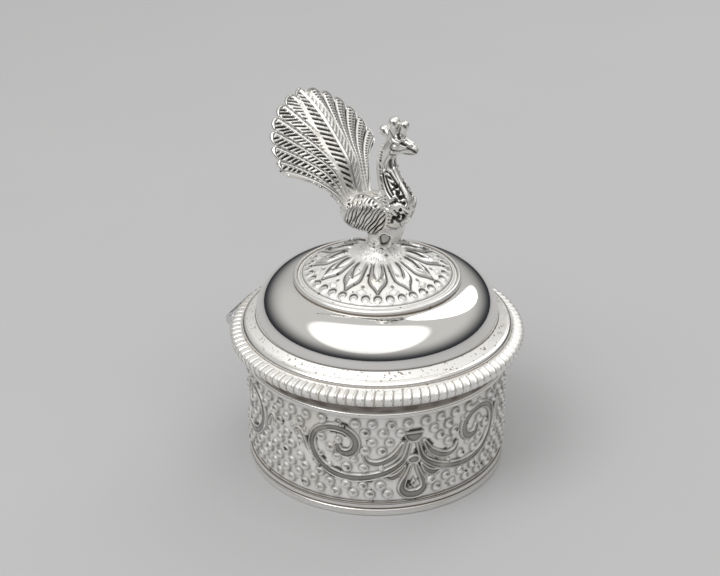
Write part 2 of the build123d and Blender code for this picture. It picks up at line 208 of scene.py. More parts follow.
class MeshPlan:
    """Points, faces and finish marks that become one piece's mesh."""

    def __init__(self) -> None:
        """Starts with nothing."""
        self._points: list[Array] = []
        self._faces: list[Array] = []
        self._marks: dict[Mark, list[Array]] = {mark: [] for mark in Mark}
        self._count = 0

    def add(
        self, points: Array, faces: Array, polish: Values = 0.0, tarnish_and_shade: Values = 0.0
    ) -> None:
        """Adds one closed shell, facing outward.

        Args:
            points: Points, as rows of three.
            faces: Point numbers of quads or triangles of this shell alone.
            polish: How burnished each point is, from 0 to 1.
            tarnish_and_shade: How darkened each point is, from 0 to 1.
        """
        corners = points[faces]
        turn = np.cross(corners[:, 1] - corners[:, 0], corners[:, 2] - corners[:, 0])
        if faces.shape[1] == 4:
            turn = turn + np.cross(corners[:, 2] - corners[:, 0], corners[:, 3] - corners[:, 0])
        centre = points.mean(axis=0)
        if np.einsum("ij,ij->", corners.mean(axis=1) - centre, turn) < 0:
            faces = faces[:, ::-1]
        self._points.append(points)
        self._faces.append(faces + self._count)
        for mark, value in ((Mark.POLISH, polish), (Mark.TARNISH_AND_SHADE, tarnish_and_shade)):
            self._marks[mark].append(np.broadcast_to(np.asarray(value, float).ravel(), len(points)))
        self._count += len(points)

    def add_ring(self, points: Array, polish: Values = 0.0, tarnish_and_shade: Values = 0.0) -> None:
        """Adds a shell that closes both along its rows and along its columns.

        Args:
            points: Grid of points, rows by columns by three.
            polish: Burnish of each point.
            tarnish_and_shade: Darkness of each point.
        """
        rows, columns = points.shape[:2]
        number = np.arange(rows * columns).reshape(rows, columns)
        below = np.roll(number, -1, axis=0)
        faces = np.stack([number, np.roll(number, -1, axis=1), np.roll(below, -1, axis=1), below], -1)
        self.add(points.reshape(-1, 3), faces.reshape(-1, 4), polish, tarnish_and_shade)

    def add_tube(self, points: Array) -> None:
        """Adds a shell that closes along its columns and is capped at its first and last rows.

        Args:
            points: Grid of points, rows by columns by three.
        """
        rows, columns = points.shape[:2]
        flat = points.reshape(-1, 3)
        number = np.arange(rows * columns).reshape(rows, columns)
        turned = np.roll(number, -1, axis=1)
        sides = np.stack([number[:-1], turned[:-1], turned[1:], number[1:]], -1).reshape(-1, 4)
        flat = np.vstack([flat, points[0].mean(axis=0), points[-1].mean(axis=0)])
        foot, head = len(flat) - 2, len(flat) - 1
        triangles = np.concatenate(
            [
                sides[:, [0, 1, 2]],
                sides[:, [0, 2, 3]],
                np.stack([np.full(columns, foot), turned[0], number[0]], -1),
                np.stack([np.full(columns, head), number[-1], turned[-1]], -1),
            ]
        )
        self.add(flat, triangles)

    def make(self, name: str, scale: float = MM) -> Piece:
        """Makes the object and links it to the scene.

        Args:
            name: Name of the piece.
            scale: Metres for each unit of the points.

        Returns:
            The new object, with smooth faces and its marks as point attributes.
        """
        mesh = bpy.data.meshes.new(name)
        points = np.concatenate(self._points) * scale
        mesh.vertices.add(len(points))
        mesh.vertices.foreach_set("co", points.astype(np.float32).ravel())
        sizes = np.concatenate([np.full(len(faces), faces.shape[1]) for faces in self._faces])
        corners = np.concatenate([faces.ravel() for faces in self._faces])
        mesh.loops.add(len(corners))
        mesh.loops.foreach_set("vertex_index", corners.astype(np.int32))
        mesh.polygons.add(len(sizes))
        starts = np.concatenate([[0], np.cumsum(sizes)[:-1]])
        mesh.polygons.foreach_set("loop_start", starts.astype(np.int32))
        mesh.update(calc_edges=True)
        mesh.validate()
        for mark, values in self._marks.items():
            set_mark(mesh, mark, np.concatenate(values))
        mesh.shade_smooth()
        mesh.set_sharp_from_angle(angle=SHARP_ANGLE)
        piece = bpy.data.objects.new(name, mesh)
        bpy.context.scene.collection.objects.link(piece)
        return piece


def set_mark(mesh: bpy.types.Mesh, mark: Mark, values: Array) -> None:
    """Writes one finish mark at a mesh's points."""
    attribute = mesh.attributes.get(mark.value) or mesh.attributes.new(mark.value, "FLOAT", "POINT")
    attribute.data.foreach_set("value", np.clip(values, 0.0, 1.0).astype(np.float32))


def spin(loop: Array, columns: int) -> Array:
    """Turns a section about the box's axis.

    Args:
        loop: Points of radius and height.
        columns: Steps around.

    Returns:
        Grid of points, section points by steps by three.
    """
    turn = steps_round(columns)
    radius, height = loop[:, :1], loop[:, 1:]
    across = np.stack([radius * np.cos(turn), radius * np.sin(turn)], -1)
    return np.concatenate([across, np.broadcast_to(height[..., None], (*across.shape[:2], 1))], -1)


class Shade:
    """A shader socket whose arithmetic adds Math nodes."""

    def __init__(self, graph: Graph, socket: bpy.types.NodeSocket) -> None:
        """Keeps the socket and the graph that it belongs to."""
        self.graph = graph
        self.socket = socket

    def _math(self, operation: str, first: Shade | float, second: Shade | float) -> Shade:
        """Adds one Math node."""
        return self.graph.add("ShaderNodeMath", {"operation": operation}, {0: first, 1: second})

    def __add__(self, other: Shade | float) -> Shade:
        """This plus another."""
        return self._math("ADD", self, other)

    def __radd__(self, other: float) -> Shade:
        """A number plus this."""
        return self._math("ADD", other, self)

    def __sub__(self, other: Shade | float) -> Shade:
        """This less another."""
        return self._math("SUBTRACT", self, other)

    def __rsub__(self, other: float) -> Shade:
        """A number less this."""
        return self._math("SUBTRACT", other, self)

    def __mul__(self, other: Shade | float) -> Shade:
        """This times another."""
        return self._math("MULTIPLY", self, other)

    def clamped(self) -> Shade:
        """This, kept from 0 to 1."""
        return self.graph.add("ShaderNodeClamp", {}, {"Value": self})

    def eased(self, low: float, high: float) -> Shade:
        """0 where this is low and 1 where it is high, with a smooth way between."""
        inputs = {"Value": self, "From Min": low, "From Max": high}
        return self.graph.add("ShaderNodeMapRange", {"interpolation_type": "SMOOTHSTEP"}, inputs)


class Graph:
    """The node tree of one material or world."""

    def __init__(self, owner: bpy.types.Material | bpy.types.World) -> None:
        """Empties the owner's tree and works in it.

        Args:
            owner: The material or world.
        """
        owner.use_nodes = True
        self.tree = owner.node_tree
        self.tree.nodes.clear()

    def add(self, kind: str, settings: dict, inputs: dict, output: str | int = 0) -> Shade:
        """Adds a node.

        Args:
            kind: Blender's name of the node type.
            settings: Values of the node's own properties, which are set first.
            inputs: Values or Shades for its sockets, by name or number.
            output: Which output to give back.

        Returns:
            That output.
        """
        node = self.tree.nodes.new(kind)
        for name, value in settings.items():
            setattr(node, name, value)
        for name, value in inputs.items():
            if isinstance(value, Shade):
                self.tree.links.new(value.socket, node.inputs[name])
            else:
                node.inputs[name].default_value = value
        outputs = node.outputs
        return Shade(self, outputs[output]) if len(outputs) else Shade(self, None)

    def mix(self, share: Shade, first: Shade | Colour, second: Shade | Colour) -> Shade:
        """Mixes two colours by a share of the second."""
        first, second = (value if isinstance(value, Shade) else (*value, 1.0) for value in (first, second))
        return self.add("ShaderNodeMix", {"data_type": "RGBA"}, {"Factor": share, 6: first, 7: second}, 2)

    def mark(self, mark: Mark) -> Shade:
        """A finish mark of the mesh."""
        return self.add("ShaderNodeAttribute", {"attribute_name": mark.value}, {}, "Fac")

    def place(self) -> Shade:
        """The place on the object, in millimetres."""
        where = self.add("ShaderNodeTexCoord", {}, {}, "Object")
        return self.add("ShaderNodeVectorMath", {"operation": "SCALE"}, {0: where, "Scale": 1.0 / MM})

    def noise(self, place: Shade, size: float, detail: float = 2.0) -> Shade:
        """Soft noise whose blotches are about a size in millimetres."""
        inputs = {"Vector": place, "Scale": 1.0 / size, "Detail": detail}
        return self.add("ShaderNodeTexNoise", {}, inputs)


@dataclass(frozen=True)
class SilverFinish:
    """Worked silver: a ground, burnished high places, recesses darkened by tarnish and painted shade, and
    small casting pits.
    """

    name: str
    slot: Slot
    ground: Colour
    burnished: Colour
    recess: Colour
    ground_roughness: float
    burnished_roughness: float
    grain_size: float
    grain_depth: float
    ground_metal: float = 1.0
    gloss: float = 0.25
    cloud_size: float = 6.0
    cloud_share: float = 0.12
    pit_size: float = 0.9
    pit_share: float = 0.0
    half_burnished: Colour | None = None

    def material(self) -> bpy.types.Material:
        """The material, made once."""
        return bpy.data.materials.get(self.name) or self._make()

    def _make(self) -> bpy.types.Material:
        """Builds the node tree.

        Returns:
            The new material.
        """
        material = bpy.data.materials.new(self.name)
        graph = Graph(material)
        place = graph.place()
        polish = graph.mark(Mark.POLISH)
        cloud = graph.noise(place, self.cloud_size, 3.0)
        grain = graph.noise(place, self.grain_size, 3.0)
        # the darkness mark holds tarnish and painted shade; darkened casting pits are added to it
        dark = graph.mark(Mark.TARNISH_AND_SHADE)
        if self.pit_share > 0:
            low, high = (edge - self.pit_share for edge in PIT_EDGES)
            pits = graph.noise(place, self.pit_size, 4.0).eased(low, high)
            dark = (dark + pits * (1 - polish) * 0.8).clamped()
        if self.half_burnished:
            silver = graph.mix(polish.eased(0.1, 0.4), self.ground, self.half_burnished)
            silver = graph.mix(polish.eased(0.6, 0.9), silver, self.burnished)
        else:
            silver = graph.mix(polish, self.ground, self.burnished)
        worn = tuple(channel * shade for channel, shade in zip(self.ground, WORN_TINT))
        silver = graph.mix(cloud.eased(0.5, 0.75) * (self.cloud_share * 4), silver, worn)
        colour = graph.mix(dark, silver, self.recess)
        span = self.burnished_roughness - self.ground_roughness
        rough = self.ground_roughness + polish * span + (cloud - 0.5) * self.cloud_share + dark * 0.25
        metal = (polish * (1 - self.ground_metal) + self.ground_metal) * (1 - dark * 0.9)
        fine = grain * (1 - polish * 0.85) - dark * 0.6
        inputs = {"Height": fine, "Distance": self.grain_depth * MM, "Strength": 1.0}
        bump = graph.add("ShaderNodeBump", {}, inputs)
        inputs = {"Base Color": colour, "Roughness": rough.clamped(), "Metallic": metal, "Normal": bump}
        inputs["Specular IOR Level"] = self.gloss
        shader = graph.add("ShaderNodeBsdfPrincipled", {}, inputs)
        graph.add("ShaderNodeOutputMaterial", {}, {"Surface": shader})
        return material


class Finishes:
    """The finishes of this box."""

    # the wall's dark burnished colour is a painted dark reflection on its polished scroll bands
    WALL = SilverFinish(
        "embossed_silver_skin", Slot.FROSTED, (0.95, 0.945, 0.93), (0.36, 0.35, 0.335),
        (0.03, 0.022, 0.015), 0.44, 0.13, 0.16, 0.05, ground_metal=0.45, pit_share=0.075,
        half_burnished=(0.95, 0.945, 0.93),
    )
    SLOPE = SilverFinish(
        "frosted_slope_skin", Slot.FROSTED, (0.95, 0.945, 0.93), (0.93, 0.92, 0.90), (0.22, 0.15, 0.09),
        0.46, 0.18, 0.16, 0.05, ground_metal=0.5, pit_size=0.6, pit_share=0.12,
    )
    ROSETTE = SilverFinish(
        "frosted_rosette_skin", Slot.FROSTED, (0.95, 0.945, 0.93), (0.82, 0.81, 0.80), (0.03, 0.025, 0.02),
        0.42, 0.18, 0.18, 0.04, ground_metal=0.5, pit_share=0.085,
    )
    REEDED = SilverFinish(
        "reeded_silver_skin", Slot.POLISHED, (0.94, 0.935, 0.915), (0.93, 0.92, 0.90), (0.13, 0.085, 0.055),
        0.42, 0.20, 0.2, 0.02, ground_metal=0.55, pit_share=0.04,
    )
    MIRROR = SilverFinish(
        "mirror_silver_skin", Slot.MIRROR, (0.90, 0.89, 0.87), (0.90, 0.89, 0.87), (0.08, 0.06, 0.05),
        0.06, 0.04, 1.6, 0.004, cloud_share=0.04, pit_size=0.5, pit_share=0.005,
    )
    POLISHED = SilverFinish(
        "polished_silver_skin", Slot.POLISHED, (0.88, 0.87, 0.84), (0.90, 0.89, 0.87), (0.09, 0.06, 0.04),
        0.18, 0.12, 0.5, 0.012, pit_share=0.03,
    )
    CAST = SilverFinish(
        "cast_silver_skin", Slot.CAST, (0.82, 0.81, 0.785), (0.95, 0.94, 0.92), (0.02, 0.016, 0.012),
        0.36, 0.15, 0.22, 0.03, ground_metal=0.75, pit_share=0.06,
    )
    HINGE = SilverFinish(
        "hinge_silver_skin", Slot.HINGE, (0.74, 0.75, 0.77), (0.80, 0.81, 0.83), (0.07, 0.06, 0.05),
        0.26, 0.15, 0.4, 0.02, pit_share=0.05,
    )


def dress(piece: Piece, finish: SilverFinish, body: Body, *nodes: str) -> None:
    """Finishes a piece and puts it in the frame.

    Args:
        piece: The piece.
        finish: Its finish.
        body: The body that it rides on.
        nodes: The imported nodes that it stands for.
    """
    piece.data.materials.clear()
    piece.data.materials.append(finish.material())
    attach(piece, body.value)
    if nodes:
        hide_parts(*nodes)
    log.info("%s: %d faces on %s", piece.name, len(piece.data.polygons), body.value)


def ring_piece(
    name: str, node: str, grid: Array, finish: SilverFinish, body: Body, polish: Values, tarnish_and_shade: Values = 0.0
) -> None:
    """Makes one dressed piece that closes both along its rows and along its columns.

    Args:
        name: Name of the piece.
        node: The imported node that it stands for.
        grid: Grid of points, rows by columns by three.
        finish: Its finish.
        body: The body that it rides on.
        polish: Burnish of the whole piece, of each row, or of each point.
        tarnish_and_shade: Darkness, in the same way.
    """
    marks = []
    for values in (np.asarray(polish, float), np.asarray(tarnish_and_shade, float)):
        marks.append(np.broadcast_to(values[:, None] if values.ndim == 1 else values, grid.shape[:2]))
    plan = MeshPlan()
    plan.add_ring(grid, *marks)
    dress(plan.make(name), finish, body, node)


@dataclass
class TurnedRings:
    """Rings of one body, turned about the box's axis."""

    columns: int
    body: Body

    def ring(
        self, name: str, node: str, loop: Array, finish: SilverFinish, polish: Values, tarnish_and_shade: Values = 0.0
    ) -> None:
        """Makes one ring from its closed section."""
        ring_piece(name, node, spin(loop, self.columns), finish, self.body, polish, tarnish_and_shade)


def blotches(turn: Array, height: Array, noise: np.random.Generator) -> Array:
    """Uneven blotches from 0 to 1, which join up around the box.

    Args:
        turn: Angle about Z of each column, in radians.
        height: Height of each row.
        noise: Where the blotches' chances come from.

    Returns:
        Grid of rows by columns.
    """
    total = np.zeros((len(height), len(turn)))
    for _ in range(BLOTCH_WAVES):
        around = noise.integers(4, 40)
        up = noise.uniform(-2.0, 2.0)
        start = noise.uniform(0, math.tau)
        total += np.sin(around * turn[None, :] + up * height[:, None] + start)
    return eased(-2.0, 4.0, total)


@dataclass(frozen=True)
class Stroke:
    """One raised line of the wall's ornament, on its right half: a path with half widths along it."""

    path: Line
    widths: tuple[float, ...]

    def edge(self, across: Array, height: Array) -> Array:
        """Measures how far points are from the line's edge.

        Args:
            across: Distance of each point from the palmette's middle.
            height: Height of each point.

        Returns:
            The distances, below 0 inside the line.
        """
        line = smooth_path(self.path, 24)
        share = np.linspace(0.0, 1.0, len(line))
        width = np.interp(share, np.linspace(0.0, 1.0, len(self.widths)), self.widths)
        best = np.full(across.shape, np.inf)
        for (x, z), half in zip(line, width):
            np.minimum(best, np.hypot(across - x, height - z) - half, out=best)
        return best


@dataclass
class EmbossedWall:
    """The wall of the box, with beads and three scrolled palmettes pressed out of the sheet."""

    repeats: int = 3
    palmette_turn: float = -140.5  # degrees about Z, of one palmette
    beads_round: int = 48
    bead_columns: int = 28  # mesh columns for each bead
    field_rows: int = 170
    inside_rows: int = 24
    bead_rows: int = 9
    bead_row_pitch: float = 1.725
    bead_low: float = 1.65  # of the lowest row, above the foot
    bead_phases: Point = (0.5, 0.08)  # of even and odd rows, in beads
    bead_drift: float = 0.02  # of each row from the one below, in beads
    bead_radius: float = 0.9
    bead_height: float = 0.93
    skirt_reach: float = 1.3  # of the soft skirt around a bead, over the bead's radius
    skirt_height: float = 0.16
    bead_room: float = 0.3  # least distance from a bead's middle to the scrolls
    scroll_height: float = 0.5
    lip_height: float = 0.15  # of the scrolls' edges, over their sunken bands
    ground_inset: float = 0.35  # of the frosted ground, behind the wall's middle
    seed: int = 7
    long_arm: Stroke = Stroke(
        (
            (0.75, 14.2), (1.7, 11.0), (4.2, 8.9), (7.7, 7.7), (11.3, 7.4), (14.6, 8.3), (17.0, 10.4),
            (17.9, 13.2), (17.0, 15.6), (14.6, 16.9), (11.9, 16.7), (10.2, 15.2), (10.1, 13.3),
            (11.2, 12.2), (12.7, 12.4), (13.2, 13.5),
        ),
        (0.3, 0.62, 0.72, 0.66, 0.62, 0.66, 0.72, 0.8, 0.55),
    )
    short_arm: Stroke = Stroke(
        ((1.9, 14.2), (3.4, 11.8), (5.9, 10.4), (7.8, 10.7), (8.5, 11.8)), (0.25, 0.6, 0.62, 0.45, 0.3)
    )
    leaf: Stroke = Stroke(((1.5, 9.7), (2.4, 8.3), (3.6, 7.5), (4.6, 7.7)), (0.2, 0.5, 0.62, 0.35))
    teardrop: Stroke = Stroke(
        ((0.55, 9.7), (1.1, 8.0), (1.85, 6.2), (1.95, 4.9), (1.1, 4.0), (0.0, 3.8)),
        (0.25, 0.4, 0.6, 0.8, 0.85),
    )
    tendril: Stroke = Stroke(
        ((17.4, 10.2), (18.9, 11.5), (19.6, 13.4), (20.6, 14.8), (21.4, 14.4), (21.2, 13.6)),
        (0.15, 0.3, 0.35, 0.2),
    )

    # level, half width and half height of the forms in a palmette's middle
    cup: Triple = (16.2, 1.65, 1.9)
    oval: Triple = (10.85, 1.15, 0.8)
    diamond: Triple = (6.1, 0.4, 0.8)

    def ornament_edge(self, across: Array, height: Array) -> Array:
        """Distance to the nearest edge of the ornament.

        Args:
            across: Distance around the wall from a palmette's middle, 0 or more.
            height: Height above the table.

        Returns:
            The distance, below 0 on the raised ornament.
        """
        edges = [
            stroke.edge(across, height)
            for stroke in (self.long_arm, self.short_arm, self.leaf, self.teardrop, self.tendril)
        ]
        level, wide, tall = self.cup
        cup = (np.hypot(across / wide, (height - level) / tall) - 1.0) * wide
        edges.append(np.maximum(cup, height - level))
        level, wide, tall = self.oval
        edges.append((np.hypot(across / wide, (height - level) / tall) - 1.0) * tall)
        level, wide, tall = self.diamond
        edges.append((across / wide + np.abs(height - level) / tall - 1.0) * 0.35)
        return np.minimum.reduce(edges)

    def relief(self, turn: Array, height: Array, radius: float) -> Relief:
        """Presses the ornament.

        Args:
            turn: Angle about Z of each column, in radians.
            height: Height of each row.
            radius: Of the wall, for distances around it.

        Returns:
            Height of the relief over the ground, burnish and darkness, as grids.
        """
        sector = math.tau / self.repeats
        offset = from_middle(turn - math.radians(self.palmette_turn), sector)
        across, level = np.meshgrid(np.abs(offset) * radius, height)
        edge = self.ornament_edge(across, level)
        raised = faded(-0.05, 0.17, edge)
        lip = eased(-0.22, -0.1, edge)
        rise = raised * (self.scroll_height - self.lip_height * (1.0 - lip))
        polish = faded(-0.24, -0.14, edge)
        noise = np.random.default_rng(self.seed)
        patch = blotches(turn, height, noise)
        # painted shade along the scrolls' outer edges and in the creases inside their lips, blotched
        # tarnish just outside them, and a blotched painted dark reflection on their polished bands
        tarnish_and_shade = np.maximum(hump(edge, 0.17, 0.13) * (0.6 + 0.4 * patch), 0.8 * hump(edge, -0.19, 0.07))
        tarnish_and_shade = np.maximum(tarnish_and_shade, eased(0.8, 0.9, patch) * hump(edge, 0.35, 0.3))
        tarnish_and_shade = np.maximum(tarnish_and_shade, (0.25 + 0.55 * patch) * polish * eased(-0.7, -0.2, edge))
        bead_rise, bead_polish, bead_shade = self.beads(turn, height, radius, noise)
        clear = eased(0.0, 0.1, bead_rise)
        tarnish_and_shade = np.maximum(tarnish_and_shade * (1.0 - clear), bead_shade * (0.75 + 0.25 * patch))
        return np.maximum(rise, bead_rise), np.maximum(polish * (1.0 - clear), bead_polish), tarnish_and_shade

    def beads(
        self, turn: Array, height: Array, radius: float, noise: np.random.Generator
    ) -> Relief:
        """Presses the beads, leaving out those that the scrolls would cover.

        Args:
            turn: Angle about Z of each column, in radians.
            height: Height of each row.
            radius: Of the wall, for distances around it.
            noise: Where the beads' small differences come from.

        Returns:
            Height, burnish and darkness, as grids: a painted dark reflection on each bead's cap and a
                painted shadow ring around its foot.
        """
        rise = np.zeros((len(height), len(turn)))
        polish, tarnish_and_shade = np.zeros_like(rise), np.zeros_like(rise)
        pitch = math.tau / self.beads_round
        sector = math.tau / self.repeats
        start = math.radians(self.palmette_turn)
        reach = 1.05 * self.skirt_reach * self.bead_radius
        column_step = turn[1] - turn[0]
        low = Place.high("foot_ring") + self.bead_low
        for row, place in np.ndindex(self.bead_rows, self.beads_round):
            level = low + row * self.bead_row_pitch
            at = start + (place + self.bead_phases[row % 2] + row * self.bead_drift) * pitch
            offset = from_middle(at - start, sector)
            room = self.ornament_edge(np.array([abs(offset) * radius]), np.array([level]))[0]
            shift, lift = noise.normal(0.0, 0.06, 2)
            size = self.bead_radius * noise.uniform(0.92, 1.04)
            tall = self.bead_height * noise.uniform(0.88, 1.08)
            spot_x, spot_z = noise.normal(0.05, 0.12), noise.normal(0.3, 0.1)
            dark_reflection, shine = noise.uniform(0.6, 1.0), noise.uniform(0.3, 0.5)
            if room < self.bead_room:
                continue
            size = min(size, room + 0.12)
            tall *= min(1.0, 0.4 + 0.6 * size / self.bead_radius)
            middle = int(round((at - turn[0]) / column_step))
            span = int(reach / (radius * column_step)) + 1
            columns = np.arange(middle - span, middle + span + 1)
            rows = np.flatnonzero(np.abs(height - level) < reach)
            x = (turn[0] + columns * column_step - at) * radius - shift
            x, z = np.meshgrid(x, height[rows] - level - lift)
            away = np.hypot(x, z) / size
            patch = np.ix_(rows, columns % len(turn))
            top = np.sqrt(np.clip(1.0 - away**2, 0.0, 1.0)) * (tall - self.skirt_height)
            top += self.skirt_height * faded(0.85, self.skirt_reach, away)
            rise[patch] = np.maximum(rise[patch], top)
            # painted dark reflection on the bead's cap, a spot and a darker upper side, then a painted
            # shadow ring around its foot
            spot = np.hypot(x - spot_x, z - spot_z) / size
            dark = dark_reflection * faded(0.2, 0.4, spot)
            over = eased(0.05, 0.5, (0.9 * z + 0.25 * x) / size)
            over = over * faded(0.66, 0.9, away)
            dark = np.maximum(dark, 0.95 * dark_reflection * over)
            ring = np.maximum(0.7 * hump(away, 1.02, 0.14), 0.22 * hump(away, 1.1, 0.3))
            tarnish_and_shade[patch] = np.maximum(tarnish_and_shade[patch], np.maximum(dark, ring))
            polish[patch] = np.maximum(polish[patch], shine * faded(0.7, 1.0, away))
        return rise, polish, tarnish_and_shade

    def build(self) -> None:
        """Makes the wall, outside and inside, from the table to the mouth."""
        radius = Place.radius("body_wall")
        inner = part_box("base_disc")[1].x / MM
        top = Place.high("body_wall")
        field_low = Place.high("foot_ring")
        field_high = Place.low("ridge_ring")
        columns = self.beads_round * self.bead_columns
        turn = steps_round(columns)
        height = np.linspace(field_low, field_high, self.field_rows)
        rise, polish, tarnish_and_shade = self.relief(turn, height, radius)
        ground = radius - self.ground_inset
        ends = np.minimum(height - field_low, field_high - height)
        # painted shade where the field meets the foot and the ridge wire
        tarnish_and_shade = np.maximum(tarnish_and_shade, (hump(ends, 0.0, 0.22) * 0.8)[:, None])
        below = np.array([[inner, 0.0], [radius, 0.0], [radius, field_low]])
        above = np.array([[radius, field_high], [radius, top], [inner, top]])
        descent = np.linspace(field_high, field_low, self.inside_rows)
        inside = np.stack([np.full_like(descent, inner), descent], -1)
        outer = spin(np.stack([np.full_like(height, ground), height], -1), columns)
        outward = np.stack([np.cos(turn), np.sin(turn), np.zeros_like(turn)], -1)
        outer = outer + rise[..., None] * outward[None]
        grid = np.concatenate([spin(below, columns), outer, spin(above, columns), spin(inside, columns)])
        pad_low = np.zeros((len(below), columns))
        pad_high = np.zeros((len(above) + len(inside), columns))
        marks = [np.concatenate([pad_low, mark, pad_high]) for mark in (polish, tarnish_and_shade)]
        ring_piece("embossed_wall", "body_wall", grid, Finishes.WALL, Body.BOX, *marks)


@dataclass
class BodyMouldings(TurnedRings):
    """The plain turned rings of the box: foot, ridge, collar and inner bezel."""

    columns: int = 360
    body: Body = Body.BOX
    # inset from the foot's edge, height and rounding, of the two rolls and the groove between
    foot_corners: Triples = (
        (0.1, 0.0, 0.2), (0.0, 0.4, 0.3), (0.0, 1.15, 0.3), (0.28, 1.35, 0.05), (0.28, 1.5, 0.05),
        (0.05, 1.7, 0.2), (0.1, 2.2, 0.25),
    )
    foot_line: float = 1.43  # height of the dark line of painted shade in the groove
    ridge_spread: Point = (0.12, 0.25)  # how far the wire laps the wall and the collar
    ridge_flat: float = 0.28  # half height of the wire's outermost part
    collar_rows: int = 22
    bezel_wall: float = 0.6
    seed: int = 11

    def foot(self) -> None:
        """Makes the foot: two rolls with a dark line of painted shade in the groove between them, and
        painted shade where it meets the wall.
        """
        wall = Place.radius("body_wall")
        radius = Place.radius("foot_ring")
        top = Place.high("foot_ring")
        rolls = [(radius - inset, height, rounding) for inset, height, rounding in self.foot_corners]
        ends = [(radius - 0.3, top, 0.12), (wall, top, 0.02)]
        loop = rounded_loop([(wall, 0.0, 0.02), *rolls, *ends])
        # painted shade in the groove between the rolls and where the foot meets the wall
        line = hump(loop[:, 1], self.foot_line, 0.2) + hump(loop[:, 1], top, 0.2)
        tarnish_and_shade = line * (loop[:, 0] < radius - 0.1)
        self.ring("foot_moulding", "foot_ring", loop, Finishes.POLISHED, 0.7, tarnish_and_shade)

    def ridge(self) -> None:
        """Makes the half-round wire above the embossed field."""
        wall = Place.radius("body_wall")
        radius = Place.radius("ridge_ring")
        low = Place.low("ridge_ring") - self.ridge_spread[0]
        high = Place.high("ridge_ring") + self.ridge_spread[1]
        middle = (low + high) / 2
        corners = [
            (wall, low, 0.02), (radius - 0.25, low, 0.1), (radius + 0.02, middle - self.ridge_flat, 0.25),
            (radius + 0.02, middle + self.ridge_flat, 0.25), (radius - 0.25, high, 0.1),
            (wall, high, 0.02),
        ]
        self.ring("ridge_wire", "ridge_ring", rounded_loop(corners, 8), Finishes.POLISHED, 0.6)

    def collar(self) -> None:
        """Makes the plain band under the lid, darkened where the lid overhangs it by painted shade blotched
        with tarnish.
        """
        wall = Place.radius("body_wall")
        radius = Place.radius("collar_band")
        low, high = Place.span("collar_band")
        level = np.linspace(low + 0.05, high - 0.1, self.collar_rows)
        outside = np.stack([np.full_like(level, radius), level], -1)
        loop = np.vstack([[wall, low], [radius - 0.05, low], outside, [radius - 0.08, high], [wall, high]])
        turn = steps_round(self.columns)
        patch = blotches(turn, loop[:, 1] * 2.0, np.random.default_rng(self.seed))
        share = (loop[:, 1:] - low) / (high - low)
        # painted shade under the lid's overhang, blotched, and a painted shade line where the ridge wire
        # meets the band
        tarnish_and_shade = eased(0.08, 0.18, share) * (0.76 + 0.14 * patch)
        tarnish_and_shade = np.maximum(tarnish_and_shade, 0.75 * hump(share, self.ridge_spread[1] / (high - low), 0.07))
        self.ring("plain_collar", "collar_band", loop, Finishes.POLISHED, 0.5, tarnish_and_shade)

    def bezel(self) -> None:
        """Makes the ring that stands up into the lid."""
        outer = Place.radius("inner_bezel")
        inner = outer - self.bezel_wall
        low, high = Place.span("inner_bezel")
        corners = [(inner, low, 0.1), (outer, low, 0.1), (outer, high, 0.2), (inner, high, 0.2)]
        self.ring("mouth_bezel", "inner_bezel", rounded_loop(corners), Finishes.POLISHED, 0.4)

    def build(self) -> None:
        """Makes the four rings."""
        self.foot()
        self.ridge()
        self.collar()
        self.bezel()


